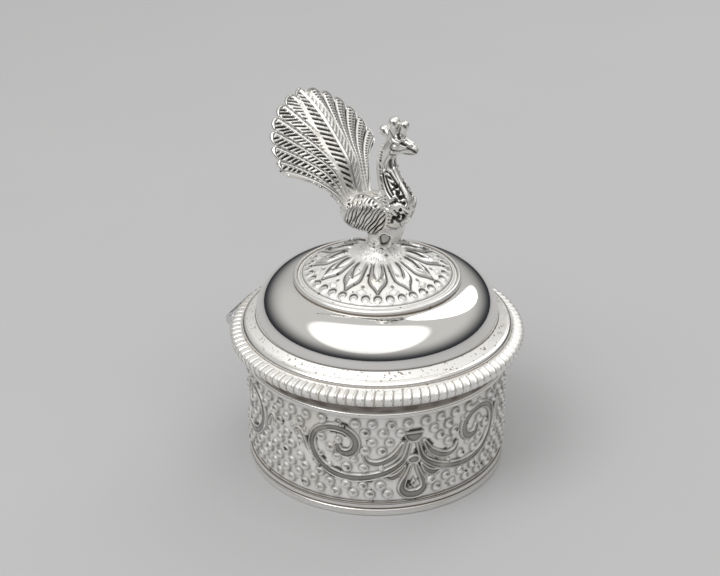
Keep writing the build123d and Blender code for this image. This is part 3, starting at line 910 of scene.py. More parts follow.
@dataclass
class ReededRim:
    """The lid's bulging edge, with a plain upper border over narrow pads between thin ridges."""

    reeds: int = 104
    reed_columns: int = 14
    ridge_height: float = 0.2
    ridge_width: float = 0.13  # in reeds
    slant: float = 0.3  # shift of a ridge from top to bottom, in reeds
    band: Point = (0.09, 0.97)  # part of the bulge that is reeded
    widest_share: float = 0.543  # height of the widest place, of the rim's height
    top_inset: float = 1.7
    bottom_inset: float = 0.55
    lap: float = 0.7  # width of the rim's flat top
    shoulder_bulge: Point = (0.24, 0.22)  # out and up from straight lines to the widest place
    under_bulge: Point = (0.13, -0.1)

    def section(self) -> tuple[Array, Array]:
        """Draws the rim's section, as points of radius and height.

        Returns:
            The bulge from its top to its bottom, and the flat inside.
        """
        radius = Place.radius("reeded_rim")
        low, high = Place.span("reeded_rim")
        top = np.array([radius - self.top_inset, high])
        start = np.array([radius - self.top_inset - self.lap + 0.15, high - 0.04])
        wide = np.array([radius, low + self.widest_share * (high - low)])
        foot = np.array([radius - self.bottom_inset, low])
        shoulder = top * 0.42 + wide * 0.58 + self.shoulder_bulge
        under = foot * 0.5 + wide * 0.5 + self.under_bulge
        bend = smooth_path([start, top, shoulder, wide, under, foot], 10)
        inner = radius - self.top_inset - self.lap
        return bend, np.array([[inner, low], [inner, high]])

    def build(self) -> None:
        """Makes the rim."""
        bend, flat = self.section()
        columns = self.reeds * self.reed_columns
        turn = steps_round(columns)
        grid = spin(np.concatenate([bend, flat]), columns)
        steps = np.linalg.norm(np.diff(bend, axis=0), axis=1)
        share = np.concatenate([[0.0], np.cumsum(steps)]) / steps.sum()
        tangent = np.gradient(bend, axis=0)
        normal = np.stack([-tangent[:, 1], tangent[:, 0]], -1)
        normal /= np.linalg.norm(normal, axis=1, keepdims=True)
        reed = (turn[None, :] * self.reeds / math.tau + self.slant * share[:, None]) % 1.0
        start, end = self.band
        in_band = eased(start - 0.03, start + 0.03, share)
        in_band = (in_band * eased(end + 0.03, end - 0.03, share))[:, None]
        ridge = hump(reed, 0.5, self.ridge_width) * in_band
        shade = hump(reed, 0.72, 0.07) * in_band
        border = hump(share, start - 0.04, 0.05)[:, None]
        lift = self.ridge_height * ridge - 0.07 * in_band - 0.05 * shade + 0.05 * border
        bulge = np.stack([np.cos(turn), np.sin(turn)], -1)[None] * normal[:, None, :1] * lift[..., None]
        grid[: len(bend), :, :2] += bulge
        grid[: len(bend), :, 2] += normal[:, None, 1] * lift
        dashes = hump(share, 0.95, 0.035)[:, None] * eased(0.25, 0.05, np.abs(reed - 0.85))
        line = 0.45 * hump(share, start + 0.03, 0.025)[:, None] * (1.0 - ridge)
        tarnish_and_shade = np.zeros(grid.shape[:2])
        # painted shade in the groove beside each ridge
        tarnish_and_shade[: len(bend)] = np.maximum.reduce([0.75 * shade, 0.7 * dashes, line])
        polish = np.full(grid.shape[:2], 0.3)
        polish[: len(bend)] = 0.1 + 0.75 * ridge + 0.3 * border
        ring_piece("reeded_edge", "reeded_rim", grid, Finishes.REEDED, Body.LID, polish, tarnish_and_shade)


@dataclass
class LidShell(TurnedRings):
    """The turned shells of the lid: seat ring, frosted slope, mirror dome and rosette border."""

    columns: int = 480
    body: Body = Body.LID
    dome_rows: int = 48
    sheet: float = 0.6
    seat_width: float = 1.0
    # inset from the slope's edge, height over it and rounding, of the rolled lip
    lip_corners: Triples = (
        (0.7, 0.0, 0.05), (0.02, 0.0, 0.05), (0.34, 0.26, 0.08), (0.42, 0.34, 0.05), (0.42, 0.7, 0.2),
        (0.78, 1.1, 0.3), (1.2, 1.13, 0.15), (1.42, 1.18, 0.1),
    )
    # reach past the dome's foot, drop below the slope's top and rounding, where the dome sits
    sill_corners: Triples = (
        (0.14, 0.02, 0.1), (0.0, 0.14, 0.04), (-0.3, 0.0, 0.05), (-0.9, 0.0, 0.05), (-0.9, 0.7, 0.05),
        (-0.23, 0.7, 0.1),
    )
    shelf_insets: Triple = (1.0, 2.1, 2.15)  # of the dome's level shelf: its middle, corner and edge
    border_width: float = 0.85

    def seat(self) -> None:
        """Makes the flat ring that closes on the mouth."""
        outer = Place.radius("lid_seat_ring")
        inner = outer - self.seat_width
        low, high = Place.span("lid_seat_ring")
        corners = [(inner, low, 0.1), (outer, low, 0.05), (outer, high, 0.05), (inner, high, 0.1)]
        self.ring("lid_seat", "lid_seat_ring", rounded_loop(corners), Finishes.POLISHED, 0.4)

    def flange(self) -> None:
        """Makes the frosted slope, with a bright rolled lip and painted shade in the groove at its outer
        edge.
        """
        outer = Place.radius("lid_flange")
        low, high = Place.span("lid_flange")
        dome = Place.radius("lid_dome")
        edge = [(outer - inset, low + over, rounding) for inset, over, rounding in self.lip_corners]
        sill = [(dome + past, high - drop, rounding) for past, drop, rounding in self.sill_corners]
        loop = rounded_loop([*edge, *sill], 6)
        upper = loop[:, 1] > low + 0.2
        above = eased(low + 0.35, low + 0.45, loop[:, 1])
        lip = eased(outer - 1.25, outer - 1.1, loop[:, 0]) * above
        # painted shade in the outer groove, where the lip meets the slope, and at the dome's foot
        tarnish_and_shade = 0.75 * hump(np.hypot(loop[:, 0] - outer + 0.4, loop[:, 1] - low - 0.3), 0.0, 0.13)
        tarnish_and_shade = np.maximum(tarnish_and_shade, 0.35 * hump(loop[:, 0], outer - 1.36, 0.06) * upper)
        tarnish_and_shade = np.maximum(tarnish_and_shade, 0.8 * hump(loop[:, 0], dome + 0.02, 0.07) * upper)
        self.ring("frosted_slope", "lid_flange", loop, Finishes.SLOPE, lip, tarnish_and_shade)

    def dome(self) -> None:
        """Makes the mirror dome, a quarter round, with its level shelf."""
        radius = Place.radius("lid_dome")
        low, high = Place.span("lid_dome")
        rise = high - low
        centre = radius - rise
        angle = np.linspace(0.0, math.pi / 2, self.dome_rows)
        outside = np.stack([centre + rise * np.cos(angle), low + rise * np.sin(angle)], -1)
        inner = rise - self.sheet
        inside = np.stack([centre + inner * np.cos(angle), low + inner * np.sin(angle)], -1)[::-1]
        under = high - self.sheet
        middle, corner, edge = (centre - inset for inset in self.shelf_insets)
        shelf = np.array([
            [middle, high], [corner, high], [edge, high - 0.05], [edge, under + 0.05], [corner, under],
        ])
        loop = np.concatenate([outside, shelf, inside])
        tarnish_and_shade = np.zeros(len(loop))
        # painted shade around the dome's foot, where it stands on the slope
        tarnish_and_shade[: len(outside)] = 0.9 * hump(outside[:, 1], low, 0.2)
        self.ring("mirror_dome", "lid_dome", loop, Finishes.MIRROR, 0.5, tarnish_and_shade)

    def border(self) -> None:
        """Makes the wire around the rosette."""
        low = Place.low("rosette_border")
        inner = Place.radius("rosette_plate")
        outer = inner + self.border_width
        corners = [
            (inner, low, 0.02), (outer, low, 0.05), (outer + 0.02, low + 0.5, 0.3),
            (outer - 0.3, low + 0.85, 0.3), (inner + 0.1, low + 0.8, 0.25), (inner, low + 0.5, 0.1),
        ]
        loop = rounded_loop(corners, 7)
        # painted shade along the wire's inner edge and its foot
        tarnish_and_shade = np.maximum(0.95 * hump(loop[:, 0], inner, 0.2), 0.95 * hump(loop[:, 1], low, 0.3))
        self.ring("rosette_wire", "rosette_border", loop, Finishes.REEDED, 0.5, tarnish_and_shade)

    def build(self) -> None:
        """Makes the four shells."""
        self.seat()
        self.flange()
        self.dome()
        self.border()


def grains(across: Array, along: Array) -> Array:
    """Uneven small grains of a cast skin, from -1 to 1."""
    bent = across * 6.3 + 1.7 * np.sin(along * 5.9)
    return np.sin(bent) * np.sin(along * 7.1 + 1.3 * across)


@dataclass(frozen=True)
class BirdPose:
    """How the peacock stands on the rosette."""

    turn: float = -21.0  # degrees about Z, from facing the front
    head_turn: float = 17.0

    def stand(self, points: Array) -> Array:
        """Stands points of the bird on the rosette.

        Args:
            points: Points in the bird's own frame, which faces -Y from z = 0.

        Returns:
            The points in the box's frame.
        """
        angle = math.radians(self.turn)
        x = points[..., 0] * math.cos(angle) - points[..., 1] * math.sin(angle)
        y = points[..., 0] * math.sin(angle) + points[..., 1] * math.cos(angle)
        return np.stack([x, y, points[..., 2] + Place.high("rosette_plate")], -1)


@dataclass
class Chasing:
    """What the chasing tools leave at a skin's points: height, burnish, and darkness of tarnish and painted
    shade.
    """

    rise: Array
    tarnish_and_shade: Array
    polish: Array

    def lift(self, amount: Array) -> None:
        """Raises the skin."""
        self.rise += amount

    def blacken(self, share: Array) -> None:
        """Darkens the skin."""
        np.maximum(self.tarnish_and_shade, share, out=self.tarnish_and_shade)

    def burnish(self, share: Array) -> None:
        """Brightens the skin."""
        np.maximum(self.polish, share, out=self.polish)

    def cut(self, depth: float, share: Array, dark: float) -> None:
        """Sinks the skin by a share from 0 to 1, and darkens it there with tarnish and painted shade."""
        self.rise -= depth * share
        self.blacken(dark * share)

    def smooth(self, share: Array) -> None:
        """Takes back what was chased before, by a share from 0 to 1."""
        self.rise *= 1 - share
        self.tarnish_and_shade *= 1 - share


@dataclass
class Rosette:
    """The stamped plate under the peacock: twelve pointed petals inside a ring of punched dots."""

    petals: int = 12
    petal_turn: float = -156.0  # degrees about Z, of one petal
    petal_foot: float = 4.2
    petal_tip: float = 10.9
    # part of the way from foot to tip, and half width there
    petal_widths: Line = (
        (0.0, 0.75), (0.3, 1.12), (0.6, 1.45), (0.75, 1.18), (0.88, 0.54), (1.0, 0.05),
    )
    petal_rise: float = 0.4
    heart_tip: float = 8.7
    heart_widths: Line = ((0.0, 0.45), (0.4, 0.85), (0.65, 0.7), (0.85, 0.34), (1.0, 0.03))
    heart_depth: float = 0.34
    dots: int = 36
    dot_ring: float = 12.0
    dot_radius: float = 0.77
    dot_depth: float = 0.3
    groove_rings: Line = ((13.1, 0.85), (13.55, 0.3))  # radius and darkness of the painted shade in each groove
    diamond: Triple = (10.75, 0.85, 0.6)  # between petals: radius, half width and half length
    pit_ring: float = 9.6
    stamp_start: Point = (2.8, 3.3)  # radii between which the stamping sets in
    columns: int = 900
    rows: int = 132
    under_rows: int = 24
    sheet: float = 0.6
    hole: float = 1.3
    pedestal: float = 3.1
    crown_swell: float = 0.35
    pose: BirdPose = BirdPose()
    skirt_forward: float = 0.75  # of the skirt's middle, towards the bird's front
    # distance from the skirt's middle and height of the skirt
    skirt: Line = (
        (0.0, 1.55), (2.25, 1.5), (2.5, 1.0), (2.8, 0.62), (3.3, 0.32), (4.1, 0.1), (5.2, 0.0),
    )

    def plate(self, radius: Array, edge: float, low: float, crown: float) -> Array:
        """Height of the plain plate at a radius."""
        share = np.clip((radius - self.pedestal) / (edge - self.pedestal), 0.0, 1.0)
        return crown + (low + self.sheet - crown) * share + self.crown_swell * 4 * share * (1 - share)

    @staticmethod
    def leaf_edge(across: Array, along: Array, foot: float, tip: float, widths: Sequence[Point]) -> Array:
        """Measures how far points are from a pointed leaf's edge.

        Args:
            across: Distance of each point from the leaf's middle line.
            along: Distance of each point from the box's axis, along that line.
            foot: Where the leaf begins.
            tip: Where it ends.
            widths: Part of the way from foot to tip, and half width there.

        Returns:
            The distances, below 0 inside the leaf.
        """
        shares, halves = smooth_path(widths, 8).T
        width = np.interp((along - foot) / (tip - foot), shares, halves)
        ends = np.maximum(foot - along, along - tip)
        return np.maximum((np.abs(across) - width) * 0.92, ends)

    def relief(self, radius: Array, turn: Array) -> Relief:
        """Stamps the plate.

        Args:
            radius: Radius of each point.
            turn: Angle about Z of each point, in radians.

        Returns:
            Height, burnish and darkness of each point.
        """
        step = math.tau / self.petals
        offset = from_middle(turn - math.radians(self.petal_turn), step)
        across, along = radius * np.sin(offset), radius * np.cos(offset)
        petal = self.leaf_edge(across, along, self.petal_foot, self.petal_tip, self.petal_widths)
        heart = self.leaf_edge(across, along, self.petal_foot + 0.1, self.heart_tip, self.heart_widths)
        body = faded(-0.2, 0.06, petal)
        roof = np.clip(-petal / 1.2, 0.0, 1.0) * eased(-0.1, 0.5, heart)
        sunk = faded(-0.16, 0.02, heart)
        rise = self.petal_rise * body + 0.35 * roof - self.heart_depth * sunk
        rise += 0.16 * faded(-0.7, -0.3, heart)
        # painted shade along the petals' and hearts' stamped edges
        tarnish_and_shade = np.maximum(hump(petal, 0.12, 0.17), 0.95 * hump(heart, -0.1, 0.13))
        polish = body * eased(0.0, 0.1, heart) * eased(0.0, -0.1, petal)
        grown = eased(self.petal_foot + 0.1, self.petal_foot + 1.3, along)
        work = Chasing(rise * grown, tarnish_and_shade * grown, polish * grown)
        self.spandrel(radius, offset % step - step / 2, work)
        self.dot(radius, turn, work)
        for ring, dark in self.groove_rings:
            work.lift(-0.16 * hump(radius, ring, 0.14))
            work.blacken(dark * hump(radius, ring, 0.1))
        return work.rise, work.polish * (1 - work.tarnish_and_shade), work.tarnish_and_shade

    def spandrel(self, radius: Array, offset: Array, work: Chasing) -> None:
        """Adds the small diamond and pit between two petals' tips.

        Args:
            radius: Radius of each point.
            offset: Angle from the middle between two petals.
            work: What to add them to.
        """
        aside, out = radius * np.sin(offset), radius * np.cos(offset)
        ring, wide, tall = self.diamond
        diamond = np.abs(aside) / wide + np.abs(out - ring) / tall - 1.0
        work.lift(0.22 * faded(-0.5, 0.1, diamond))
        # painted shade around the diamond and in the pit
        work.blacken(0.5 * hump(diamond, 0.12, 0.14))
        pit = np.hypot(aside, out - self.pit_ring)
        work.blacken(0.75 * faded(0.2, 0.42, pit))
        work.lift(-0.15 * faded(0.2, 0.45, pit))

    def dot(self, radius: Array, turn: Array, work: Chasing) -> None:
        """Adds the ring of punched dots, each a low coin in a ring of painted shade, heavier on its inner
        side.

        Args:
            radius: Radius of each point.
            turn: Angle about Z of each point.
            work: What to add them to.
        """
        step = math.tau / self.dots
        offset = from_middle(turn - math.radians(self.petal_turn), step)
        x, y = radius * np.sin(offset), radius * np.cos(offset) - self.dot_ring
        away = np.hypot(x, y) / self.dot_radius
        work.lift(-self.dot_depth * faded(0.6, 1.0, away))
        work.lift(0.1 * hump(away, 1.12, 0.16))
        coin = np.hypot(x, y - 0.08) / (self.dot_radius * 0.74)
        work.lift(0.22 * faded(0.5, 1.0, coin))
        work.burnish(faded(0.5, 0.9, coin))
        work.blacken(hump(away, 0.88, 0.16) * (0.6 + 0.4 * eased(0.2, -0.5, y)))

    def build(self) -> None:
        """Makes the plate, with its plain underside."""
        edge = Place.radius("rosette_plate")
        low, crown = Place.span("rosette_plate")
        turn = steps_round(self.columns)
        radius = np.linspace(self.hole, edge, self.rows)
        around, out = np.meshgrid(turn, radius)
        rise, polish, tarnish_and_shade = self.relief(out, around)
        fade = faded(edge - 0.25, edge, out) * eased(*self.stamp_start, out)
        top = spin(np.stack([radius, self.plate(radius, edge, low, crown)], -1), self.columns)
        middle = self.pose.stand(np.array([[0.0, -self.skirt_forward, 0.0]]))[0]
        reach, height = smooth_path(self.skirt, 8).T
        away = np.hypot(top[..., 0] - middle[0], top[..., 1] - middle[1])
        rough = grains(top[..., 0], top[..., 1]) * faded(3.6, 4.8, away)
        top[..., 2] += rise * fade + np.interp(away, reach, height) + 0.05 * rough
        tarnish_and_shade = np.maximum(tarnish_and_shade * fade, 0.55 * eased(-0.55, -0.9, rough))
        inward = np.linspace(edge, self.hole, self.under_rows)
        ceiling = self.plate(inward, edge, low, crown) - self.sheet
        under = spin(np.stack([inward, ceiling], -1), self.columns)
        blank = np.zeros(under.shape[:2])
        grid = np.concatenate([top, under])
        marks = [np.concatenate([mark, blank]) for mark in (polish * fade, tarnish_and_shade)]
        ring_piece("stamped_rosette", "rosette_plate", grid, Finishes.ROSETTE, Body.LID, *marks)


def hollows(mesh: bpy.types.Mesh, points: Array, normals: Array, rounds: int) -> Array:
    """Finds a skin's hollows.

    Args:
        mesh: The skin.
        points: Where its points are.
        normals: Their outward directions.
        rounds: How often the skin is eased, for wider hollows.

    Returns:
        How far each point lies below the skin around it.
    """
    pairs = np.zeros(len(mesh.edges) * 2, np.int32)
    mesh.edges.foreach_get("vertices", pairs)
    first, second = pairs.reshape(-1, 2).T
    starts, ends = np.concatenate([first, second]), np.concatenate([second, first])
    share = 1.0 / np.maximum(np.bincount(starts, minlength=len(points)), 1)
    soft = points
    for _ in range(rounds):
        columns = [np.bincount(starts, soft[ends, axis], len(points)) * share for axis in range(3)]
        soft = np.stack(columns, -1)
    return ((soft - points) * normals).sum(axis=1)


def scatter(*numbers: Array) -> Array:
    """Repeatable numbers from 0 to 1 with no order to them, one for each set of whole numbers."""
    mixed = sum(number * factor for number, factor in zip(numbers, (12.9898, 78.233, 37.719)))
    return np.sin(mixed) * 43758.5453 % 1.0


@dataclass
class BirdSkin(Chasing):
    """The bird's skin: where its points are, and what is chased there."""

    points: Array  # in the bird's frame
    side: Array  # 1 on the bird's sides, 0 along its middle
    across: Array  # as its flank is seen from ahead and above, from the foot's middle
    above: Array

    def line(self, path: Sequence[Point]) -> Array:
        """Measures how far the points are from a smooth line, as the flank is seen.

        Args:
            path: Points of the line, across and above.

        Returns:
            The distances.
        """
        best = np.full(len(self.points), np.inf)
        for across, above in smooth_path(path, 12):
            np.minimum(best, np.hypot(self.across - across, self.above - above), out=best)
        return best

    def spot(self, across: float, above: float) -> Array:
        """Distance from a point, as the flank is seen."""
        return np.hypot(self.across - across, self.above - above)

    def patch(self, corners: Sequence[Point]) -> Array:
        """Measures how far the points are from a patch's edge, as the flank is seen.

        Args:
            corners: Points of the edge, across and above.

        Returns:
            The distances, below 0 inside the patch.
        """
        closed = smooth_path([*corners, corners[0]], 6)
        inside = np.zeros(len(self.points), bool)
        for (x0, y0), (x1, y1) in zip(closed[:-1], closed[1:]):
            if y0 != y1:
                crossing = x0 + (self.above - y0) * (x1 - x0) / (y1 - y0)
                inside ^= ((y0 > self.above) != (y1 > self.above)) & (self.across < crossing)
        best = np.full(len(self.points), np.inf)
        for across, above in closed:
            np.minimum(best, self.spot(across, above), out=best)
        return np.where(inside, -best, best)


@dataclass
class Peacock:
    """The cast bird with its pedestal and stud, fused from rounded forms and then chased."""

    pose: BirdPose = BirdPose()
    # forward, up, slope in degrees, half height, half width, turn in degrees
    stations: tuple[tuple[float, ...], ...] = (
        (-7.7, 5.4, 16, 0.7, 0.7, 0),
        (-7.3, 5.45, 16, 1.9, 1.9, 0),
        (-5.3, 5.9, 12, 3.0, 3.2, 0),
        (-2.6, 6.6, 10, 3.45, 3.7, 0),
        (0.8, 7.65, 24, 3.7, 4.05, 0),
        (3.6, 9.2, 50, 3.55, 3.6, 0),
        (4.9, 11.3, 88, 3.0, 2.7, 0),
        (3.05, 13.9, 112, 2.35, 2.05, 0),
        (2.05, 16.6, 98, 1.8, 1.6, 0),
        (2.2, 18.4, 82, 1.6, 1.45, 4),
        (3.1, 19.9, 56, 1.65, 1.5, 17),
        (4.3, 20.9, 15, 1.7, 1.4, 17),
        (5.5, 20.75, -10, 1.15, 0.9, 17),
    )
    neck_forward: float = 2.2
    neck_top: float = 18.0
    voxel: float = 0.09
    ease_rounds: int = 5
    burnish: float = 0.3
    hollow_rounds: tuple[int, int] = (10, 60)  # of easing, to find fine and wide hollows
    # forward and up, of each prong of the crest
    crest: tuple[Line, ...] = (
        ((3.4, 20.6), (2.9, 21.5), (2.4, 22.2), (1.6, 22.75)),
        ((3.5, 20.7), (3.3, 21.8), (3.3, 22.9), (3.47, 24.4)),
        ((4.0, 20.9), (4.4, 21.9), (4.8, 22.9), (5.36, 24.2)),
    )
    crest_radii: tuple[float, ...] = (1.1, 1.0, 0.88, 0.74)
    crest_balls: tuple[float, ...] = (0.86, 1.02, 0.86)
    # forward, up and radius, of the beak's halves, the pedestal from its skirt up, and the stud
    upper_beak: Triples = (
        (4.7, 20.7, 1.25), (5.8, 20.6, 1.05), (6.8, 20.45, 0.8), (7.5, 20.1, 0.55), (7.85, 19.7, 0.25),
    )
    lower_beak: Triples = (
        (4.5, 20.0, 0.85), (5.6, 19.75, 0.62), (6.6, 19.6, 0.42), (7.3, 19.5, 0.22),
    )
    pedestal_rings: Triples = (
        (0.75, -0.6, 2.6), (0.75, 0.2, 2.5), (0.85, 1.1, 2.4), (1.0, 1.8, 2.35), (1.2, 2.6, 2.5),
        (1.45, 3.5, 2.9), (1.7, 4.4, 3.25), (1.9, 5.4, 3.4), (2.0, 6.4, 3.2),
    )
    stud_rings: Triples = (
        (0.0, -3.3, 1.05), (0.0, -3.1, 1.25), (0.0, -1.5, 1.25), (0.0, 0.4, 1.25),
    )
    view_turn: float = -45.0  # degrees from forward, of the side view
    view_elevation: float = 27.2
    view_distance: float = 277.7
    view_centre: Point = (-3.0, -6.63)  # where the view's axis passes the foot
    view_stretch: float = 1.018
    wing: Line = (
        (-5.5, 4.7), (-4.2, 3.8), (-1.8, 3.0), (0.3, 3.0), (1.3, 4.7), (1.3, 6.6), (0.3, 8.1),
        (-1.4, 9.3), (-3.1, 9.7), (-4.2, 8.5), (-5.4, 6.0),
    )
    rib_centre: Point = (-8.6, -5.5)
    rib_step: float = 2.5  # degrees
    breast: Line = (
        (2.2, 4.5), (2.3, 6.6), (2.0, 8.8), (2.5, 11.0), (2.9, 11.9), (4.0, 11.9), (4.7, 10.2),
        (5.3, 8.6), (5.8, 7.0), (5.7, 5.6), (4.4, 4.8),
    )
    deep_pits: Triples = (  # across, above and radius
        (2.9, 5.5, 0.52), (3.7, 5.7, 0.4), (4.8, 5.5, 0.6), (4.0, 6.9, 0.36), (4.0, 9.2, 0.5),
        (3.6, 10.1, 0.46), (3.3, 11.2, 0.42), (4.7, 8.2, 0.4), (5.2, 6.4, 0.35), (3.0, 8.4, 0.3),
    )
    scroll: Line = ((2.4, 7.1), (3.6, 7.9), (4.5, 7.5), (5.3, 6.8))
    strap: Line = (
        (3.3, 14.3), (4.3, 12.4), (5.5, 10.3), (6.5, 8.5), (6.7, 7.3), (6.2, 5.7), (4.6, 4.6),
    )
    ladder: Line = ((1.6, 13.6), (2.3, 12.3), (3.2, 10.9), (3.6, 10.2))
    neck_grooves: tuple[Line, ...] = (
        ((0.9, 13.4), (1.2, 11.8), (1.8, 10.2), (2.4, 9.3)),
        ((1.4, 13.0), (2.0, 11.2), (2.7, 9.7)),
        ((2.2, 13.5), (3.0, 12.3), (4.1, 10.7), (4.8, 9.4)),
    )
    # path and half width, of the dark places on the crest
    crest_shades: tuple[tuple[Line, float], ...] = (
        (((3.95, 21.5), (3.7, 20.3)), 0.2),
        (((2.1, 21.1), (2.9, 19.7)), 0.14),
        (((2.8, 22.4), (3.0, 22.1)), 0.24),
        (((4.6, 21.9), (4.9, 21.6)), 0.26),
        (((1.0, 21.1), (1.2, 20.7)), 0.2),
    )
    shoulder: Line = (
        (0.6, 10.0), (1.7, 9.6), (2.1, 8.0), (2.2, 6.0), (2.2, 4.4), (1.5, 3.5), (1.4, 4.7), (1.4, 6.6),
        (0.5, 8.2), (-1.2, 9.5), (-0.8, 10.3),
    )
    nape_dashes: Line = ((0.7, 17.2), (0.45, 14.9), (0.55, 12.6), (0.95, 10.7))

    throat_ridge: Line = ((2.3, 16.6), (1.45, 15.2), (1.2, 13.9))
    throat_knob: Point = (1.25, 13.85)
    cheek: Point = (3.0, 18.1)
    eye: Line = ((4.2, 18.75), (4.9, 18.45))
    crown: Line = ((3.5, 20.3), (3.8, 19.7))
    brow: Line = ((3.95, 20.0), (4.8, 19.25), (5.8, 18.5))
    band: Line = ((2.55, 19.5), (3.0, 19.0), (3.6, 18.75))
    jaw: Line = ((2.5, 17.1), (3.8, 17.05), (4.9, 17.3), (6.3, 16.95))
    mouth: Line = ((5.2, 17.95), (5.9, 17.6), (6.7, 17.15))
    tuft: Line = ((-7.3, 8.9), (-6.2, 9.6), (-4.6, 9.2), (-4.7, 7.9), (-6.0, 6.8), (-7.0, 6.4))
    arch: Triple = (1.3, 1.7, 1.05)  # between the legs: across, above and radius
    streak: Line = ((2.1, 3.9), (3.2, 3.7), (4.2, 4.1))

    def turned(self, points: Array, angle: Values) -> Array:
        """Turns points about the top of the neck.

        Args:
            points: Points in the bird's frame.
            angle: By how many degrees, for all or for each.

        Returns:
            The turned points.
        """
        angle = np.radians(angle)
        x = points[..., 0]
        y = points[..., 1] + self.neck_forward
        turned_x = x * np.cos(angle) - y * np.sin(angle)
        turned_y = x * np.sin(angle) + y * np.cos(angle)
        return np.stack([turned_x, turned_y - self.neck_forward, points[..., 2]], -1)

    def trunk(self) -> Array:
        """Shapes the body, neck and head.

        Returns:
            One tube of ovals.
        """
        line = smooth_path(self.stations, 16)
        forward, up, slope, tall, wide, turn = (line[:, i, None] for i in range(6))
        slope = np.radians(slope)
        angle = np.linspace(0.0, math.tau, 96, endpoint=False)[None]
        x = wide * np.cos(angle)
        y = -forward + tall * np.sin(angle) * np.sin(slope)
        z = up + tall * np.sin(angle) * np.cos(slope)
        return self.turned(np.stack([x, y, z], -1), turn)

    @staticmethod
    def rod(path: Sequence[Sequence[float]], radii: Sequence[float], steps: int = 6) -> Array:
        """Shapes a round rod along a smooth path.

        Args:
            path: Points that the rod passes.
            radii: Its radius at each of them.
            steps: Rings from each point to the next.

        Returns:
            Grid of points, rings by steps around by three.
        """
        line = smooth_path([(*point, radius) for point, radius in zip(path, radii)], steps)
        centre, radius = line[:, :3], np.maximum(line[:, 3:], 0.02)
        along = np.gradient(centre, axis=0)
        along /= np.linalg.norm(along, axis=1, keepdims=True)
        side = np.cross(along, (0.31, 0.17, 0.94) if abs(along[0][2]) < 0.9 else (1.0, 0.1, 0.0))
        side /= np.linalg.norm(side, axis=1, keepdims=True)
        other = np.cross(along, side)
        angle = np.linspace(0.0, math.tau, 24, endpoint=False)[None, :, None]
        ring = side[:, None] * np.cos(angle) + other[:, None] * np.sin(angle)
        return centre[:, None] + ring * radius[:, None]

    def middle_rod(self, rings: Sequence[Triple], steps: int = 6) -> Array:
        """A rod in the bird's middle plane, through points of forward, up and radius."""
        path = [(0.0, -forward, up) for forward, up, _ in rings]
        return self.rod(path, [radius for *_, radius in rings], steps)

    def ball(self, forward: float, up: float, radius: float) -> Array:
        """A ball in the middle plane of the head."""
        turns = np.linspace(-1.5, 1.5, 13)
        return self.middle_rod([(forward, up + radius * math.sin(a), radius * np.cos(a)) for a in turns], 2)

    def head(self) -> list[Array]:
        """Shapes what the head carries.

        Returns:
            The crest's prongs and balls, and the beak's halves.
        """
        forms = []
        for prong, radius in zip(self.crest, self.crest_balls):
            forms.append(self.middle_rod([(*point, wide) for point, wide in zip(prong, self.crest_radii)]))
            forms.append(self.ball(*prong[-1], radius))
        forms.extend(self.middle_rod(beak) for beak in (self.upper_beak, self.lower_beak))
        return [self.turned(form, self.pose.head_turn) for form in forms]

    def pedestal(self) -> list[Array]:
        """The waisted foot, and the stud below it."""
        return [self.middle_rod(self.pedestal_rings, 8), self.middle_rod(self.stud_rings)]

    def fused(self) -> Piece:
        """Fuses all the forms.

        Returns:
            One skin, in millimetres.
        """
        plan = MeshPlan()
        for form in (self.trunk(), *self.head(), *self.pedestal()):
            plan.add_tube(form)
        rough = plan.make("peacock_forms", 1.0)
        fuse = rough.modifiers.new("fuse", "REMESH")
        fuse.mode = "VOXEL"
        fuse.voxel_size = self.voxel
        soften = rough.modifiers.new("ease", "SMOOTH")
        soften.iterations = self.ease_rounds
        soften.factor = 0.5
        graph = bpy.context.evaluated_depsgraph_get()
        mesh = bpy.data.meshes.new_from_object(rough.evaluated_get(graph))
        bpy.data.objects.remove(rough)
        piece = bpy.data.objects.new("chased_peacock", mesh)
        bpy.context.scene.collection.objects.link(piece)
        return piece

    def seen(self, points: Array) -> tuple[Array, Array]:
        """Where points lie in the side view, with both flanks laid on one.

        Args:
            points: Points in the bird's frame.

        Returns:
            Distances across and above, from the foot's middle.
        """
        turn = self.pose.head_turn * eased(self.neck_top, self.neck_top + 1.5, points[:, 2])
        straight = self.turned(points, -turn)
        straight[:, 0] = -np.abs(straight[:, 0])
        x, y, z = self.turned(straight, turn).T
        a, e = math.radians(self.view_turn), math.radians(self.view_elevation)
        level = x * math.sin(a) - y * math.cos(a)
        across = x * math.cos(a) + y * math.sin(a)
        above = z * math.cos(e) - level * math.sin(e)
        nearness = level * math.cos(e) + z * math.sin(e)
        scale = self.view_distance / (self.view_distance - nearness)
        middle, low = self.view_centre
        return (across - middle) * scale + middle, ((above - low) * scale + low) * self.view_stretch

    def skin(self, points: Array, normals: Array) -> BirdSkin:
        """Lays out a plain skin.

        Args:
            points: Its points in the bird's frame.
            normals: Their outward directions.

        Returns:
            The skin.
        """
        rise, tarnish_and_shade = np.zeros((2, len(points)))
        polish = np.full(len(points), self.burnish)
        side = eased(0.05, 0.3, np.abs(normals[:, 0]))
        return BirdSkin(rise, tarnish_and_shade, polish, points, side, *self.seen(points))

